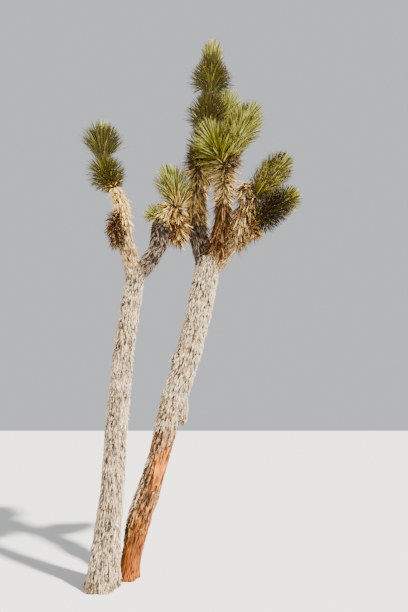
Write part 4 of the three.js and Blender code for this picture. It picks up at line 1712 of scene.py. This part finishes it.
@dataclass
class JoshuaTree:
    """The whole plant: its limbs and its leaf masses."""

    limbs: list[Limb] = field(default_factory=list)
    masses: list[LeafMass] = field(default_factory=list)

    def add_limbs(self) -> None:
        """Lists the stems, the stub and the boughs with the sizes of their nodes."""
        # The shade stops paint shade into the bark: darker, warmer bark towards the stems' feet, and painted
        # shade at the second stem's head and on the inner and spire boughs under the thatch
        self.limbs += [
            Limb("trunk_main", MAIN_STEM_PATH, MAIN_STEM_RADII, level=True, bare=BarePatch(), knob=Knob(),
                 shade=((0, 0.84), (0.3, 0.88), (0.6, 0.88), (0.8, 1), (1, 0.97))),
            Limb("trunk_second", SECOND_STEM_PATH, SECOND_STEM_RADII, level=True, finish=SILVER_BARK,
                 flake=(0.015, 0.095), fray=(0.045, 900.0),
                 shade=((0, 0.84), (0.3, 0.88), (0.5, 0.97), (0.9, 1), (0.95, 0.7), (1, 0.5))),
            Limb("stub_main", ARMS["stub"], ((0, 0.07), (0.45, 0.072), (0.9, 0.058), (1, 0.04)), 0.435,
                 dome=0.9),
            self.bough("outer", ((0, 0.106), (0.35, 0.096), (0.8, 0.09), (1, 0.094)), 0.64),
            self.bough("inner", ((0, 0.088), (0.4, 0.092), (0.75, 0.104), (1, 0.104)), 0.8, GREY_SHADED_BARK,
                       ((0, 1), (0.62, 1), (0.72, 0.3), (0.92, 0.3), (0.98, 1), (1, 1))),
            self.bough("spire", ((0, 0.122), (0.5, 0.118), (1, 0.114)), 0.61, GREY_SHADED_BARK,
                       ((0, 0.8), (0.25, 0.35), (1, 0.3))),
            self.bough("front", ((0, 0.07), (0.5, 0.098), (1, 0.1)), 0.25),
            self.bough("right", ((0, 0.104), (0.6, 0.1), (1, 0.098)), 0.52),
            self.bough("back", ((0, 0.104), (0.6, 0.098), (1, 0.094)), 0.64),
        ]

    @staticmethod
    def bough(arm: str, radii: Stops, reach: float, finish: BarkFinish = BOUGH_BARK,
              shade: Stops = UNSHADED) -> Limb:
        """Describes one bough, which is browner than a stem and has longer shreds of bark."""
        shreds = GREY_SHADED_SHREDS if finish is GREY_SHADED_BARK else SHREDS
        return Limb(f"bough_{arm}", ARMS[arm], radii, reach, finish=finish, flake=(0.019, 0.1),
                    fray=(0.07, 900.0), shreds=shreds, shade=shade)

    def add_thatch(self) -> None:
        """Lists the skirts and tufts of dead leaves."""
        self.masses += [
            Thatch("thatch_outer", "outer", 0.6, 1.25, 0.15, ((0, 172), (0.9, 170), (1, 145)), NECK_STRAW,
                   ((0, 0.088), (0.4, 0.095), (0.8, 0.072), (1, 0.042)), 0.2),
            Thatch("tuft_outer_dead", "outer_dead", 0.0, 0.46, 0.15, ((0, 78), (1, 62)), DARKISH,
                   ((0, 0.034), (0.5, 0.05), (1, 0.024)), 0.42),
            Thatch("thatch_inner", "inner", 0.78, 1.2, 0.23, ((0, 140), (0.7, 116), (1, 50)), PALE_STRAW,
                   ((0, 0.1), (0.5, 0.104), (1, 0.07)), 0.6),
            Thatch("tuft_inner_hanging", "inner_hanging", 0.0, 0.36, 0.205, ((0, 75), (0.5, 52), (1, 34)),
                   BROWNISH, ((0, 0.066), (0.6, 0.078), (1, 0.04)), 0.4),
            Thatch("thatch_spire", "spire", 0.48, 1.6, 0.19, ((0, 174), (0.9, 171), (1, 130)), SPIRE_STRAW,
                   ((0, 0.108), (0.2, 0.104), (0.45, 0.088), (0.75, 0.078), (1, 0.058)), 0.18,
                   grey_foot=0.85),
            Thatch("thatch_front_low", "front", 0.25, 0.98, 0.31, ((0, 168), (1, 164)), RUSTY,
                   ((0, 0.112), (0.45, 0.096), (1, 0.046)), 0.12),
            Thatch("thatch_front_high", "front", 0.93, 1.49, 0.215,
                   ((0, 150), (0.4, 128), (0.8, 122), (1, 95)), GREYISH,
                   ((0, 0.05), (0.4, 0.066), (1, 0.06)), 0.1, density=0.75),
            Thatch("thatch_front_spikes", "front_dead", 0.0, 0.12, 0.17, ((0, 76), (0.5, 50), (1, 15)),
                   SPIKY_GREY, ((0, 0.02), (1, 0.03)), 0.4, node="thatch_front_high"),
            Thatch("thatch_right", "right", 0.5, 1.2, 0.25, ((0, 155), (0.8, 150), (1, 125)), MIXED_STRAW,
                   ((0, 0.1), (0.45, 0.138), (0.85, 0.118), (1, 0.07)), 0.5),
            Thatch("thatch_right_head", "right_head", 0.0, 0.38, 0.2, ((0, 162), (0.7, 152), (1, 100)),
                   SILVERY_STRAW, ((0, 0.09), (0.6, 0.08), (1, 0.04)), 0.3, node="thatch_right"),
            Thatch("tuft_right_dead", "right_dead", 0.03, 0.22, 0.165, ((0, 80), (1, 50)), BROWNISH,
                   ((0, 0.048), (0.5, 0.056), (1, 0.026)), 0.35),
            Thatch("thatch_back", "back", 0.62, 1.86, 0.25, ((0, 166), (0.9, 162), (1, 130)), STRAWY,
                   ((0, 0.098), (0.4, 0.108), (1, 0.058)), 0.2),
        ]

    def add_rosettes(self) -> None:
        """Lists the green rosettes."""
        low_whorl = ((0, 122), (0.3, 100), (0.5, 78), (0.7, 38), (1, 24))
        self.masses += [
            Rosette("rosette_outer_low", "outer", 1.24, 1.6, 0.2,
                    ((0, 96), (0.3, 88), (0.62, 76), (0.8, 28), (1, 10)), SHADY_GREEN, ROSETTE_CORE,
                    lengths=((0, 0.2), (0.25, 0.6), (0.55, 1), (0.74, 1), (0.84, 0.55), (1, 0.5)),
                    dry_foot=0.4, spines=0.35),
            Rosette("rosette_outer_top", "outer", 1.6, 2.0, 0.285,
                    ((0, 8), (0.15, 18), (0.32, 36), (0.48, 49), (0.62, 44), (0.8, 24), (1, 3)),
                    SHADY_GREEN, pale_tip=0.9,
                    lengths=((0, 0.6), (0.2, 0.8), (0.45, 1), (0.7, 0.92), (1, 1)), dry_foot=0.0,
                    spines=0.35),
            Rosette("rosette_inner_up", "inner_up", 0.05, 0.47, 0.25,
                    ((0, 54), (0.3, 50), (0.7, 50), (1, 5)), SILVERY_GREEN, pale_tip=1.0, dry_foot=0.6,
                    lengths=((0, 0.6), (0.3, 0.76), (0.6, 1), (1, 1))),
            Rosette("rosette_inner_side", "inner_side", 0.0, 0.095, 0.17, ((0, 122), (0.5, 78), (1, 12)),
                    FAN_GREEN, pale_tip=0.5, slim=0.6, density=1.6),
            Rosette("rosette_spire_low", "spire", 1.56, 2.18, 0.225, low_whorl, SHADY_GREEN, ROSETTE_CORE,
                    lengths=((0, 0.95), (0.16, 0.95), (0.28, 0.66), (0.46, 0.7), (0.58, 1.1), (1, 0.95)),
                    dry_foot=0.7, spines=0.5),
            Rosette("rosette_spire_middle", "spire", 2.18, 2.83, 0.3,
                    ((0, 30), (0.1, 56), (0.3, 80), (0.4, 64), (0.5, 46), (0.65, 22), (1, 16)),
                    SHADY_GREEN, ROSETTE_CORE,
                    lengths=((0, 0.75), (0.3, 1), (0.42, 0.9), (0.6, 0.66), (1, 0.66)), dry_foot=0.05,
                    spines=0.3),
            Rosette("rosette_spire_high", "spire", 2.83, 3.37, 0.27,
                    ((0, 16), (0.2, 40), (0.36, 86), (0.46, 80), (0.62, 52), (0.78, 28), (1, 14)),
                    SHADY_GREEN, ROSETTE_CORE,
                    lengths=((0, 0.7), (0.28, 0.9), (0.38, 1.06), (0.56, 0.88), (1, 0.8)), dry_foot=0.05,
                    spines=0.3),
            Rosette("rosette_spire_top", "spire", 3.35, 3.61, 0.275, ((0, 42), (0.5, 24), (1, 3)),
                    CAP_GREEN, pale_tip=0.9, slim=0.6, density=0.95, dry_foot=0.0),
            Rosette("rosette_front_left", "front_left", 0.05, 0.43, 0.285,
                    ((0, 100), (0.4, 72), (0.8, 42), (1, 8)), SUNNY_GREEN, pale_tip=0.15, dry_foot=0.8),
            Rosette("rosette_front_right", "front_right", 0.05, 0.79, 0.28,
                    ((0, 46), (0.3, 46), (0.6, 52), (0.85, 42), (1, 10)), SUNNY_GREEN, pale_tip=0.4,
                    lengths=((0, 0.25), (0.3, 0.66), (0.6, 0.92), (1, 0.97)), dry_foot=0.6),
            Rosette("rosette_right_up", "right_up", 0.05, 0.63, 0.24,
                    ((0, 60), (0.25, 44), (0.6, 42), (0.85, 42), (1, 16)), MIXED_GREEN, pale_tip=0.5,
                    lengths=((0, 0.75), (0.3, 0.9), (0.6, 0.95), (1, 0.9)), dry_foot=0.15),
            Rosette("rosette_right_low", "right_low", 0.14, 0.56, 0.215, ((0, 112), (0.5, 84), (1, 38)),
                    SHADOWED_GREEN, ROSETTE_CORE, lengths=((0, 0.95), (0.5, 0.84), (1, 0.96)), dry_foot=0.2,
                    spines=0.5),
            Rosette("rosette_right_out", "right_low", 0.56, 0.79, 0.2, ((0, 98), (0.5, 58), (1, 6)),
                    RIM_GREEN, pale_tip=0.9, slim=0.7, dry_foot=0.1),
            Rosette("rosette_back_low", "back", 1.82, 2.4, 0.255, low_whorl, SUNNY_GREEN, ROSETTE_CORE,
                    dry_foot=0.7),
            Rosette("rosette_back_top", "back", 2.4, 3.04, 0.35, ((0, 84), (0.4, 66), (0.85, 54), (1, 8)),
                    BACK_GREEN, pale_tip=0.9, lengths=((0, 0.7), (0.4, 0.85), (1, 1)), dry_foot=0.3),
        ]

    def dress(self) -> None:
        """Builds and dresses the whole plant."""
        self.add_limbs()
        self.add_thatch()
        self.add_rosettes()
        Bark().dress(self.limbs)
        LeafGrower(self.limbs, self.masses).dress({
            "dead_leaves_left": ("thatch_outer", "tuft_outer_dead", "thatch_inner", "tuft_inner_hanging"),
            "dead_leaves_spire": ("thatch_spire",),
            "dead_leaves_front": ("thatch_front_low", "thatch_front_high", "thatch_front_spikes"),
            "dead_leaves_right": ("thatch_right", "thatch_right_head", "tuft_right_dead"),
            "dead_leaves_back": ("thatch_back",),
            "green_leaves_outer": ("rosette_outer_low", "rosette_outer_top"),
            "green_leaves_inner": ("rosette_inner_up", "rosette_inner_side"),
            "green_leaves_spire": ("rosette_spire_low", "rosette_spire_middle", "rosette_spire_high"),
            "young_leaves_spire": ("rosette_spire_top",),
            "green_leaves_front": ("rosette_front_left", "rosette_front_right"),
            "green_leaves_right": ("rosette_right_up", "rosette_right_low", "rosette_right_out"),
            "green_leaves_back": ("rosette_back_low", "rosette_back_top"),
        })


def main() -> None:
    """Builds the studio and the plant in order."""
    logging.basicConfig(level=logging.INFO, format="%(message)s")
    studio = Studio()
    studio.camera()
    JoshuaTree().dress()
    studio.floor()
    studio.light()


if __name__ == "__main__":
    main()
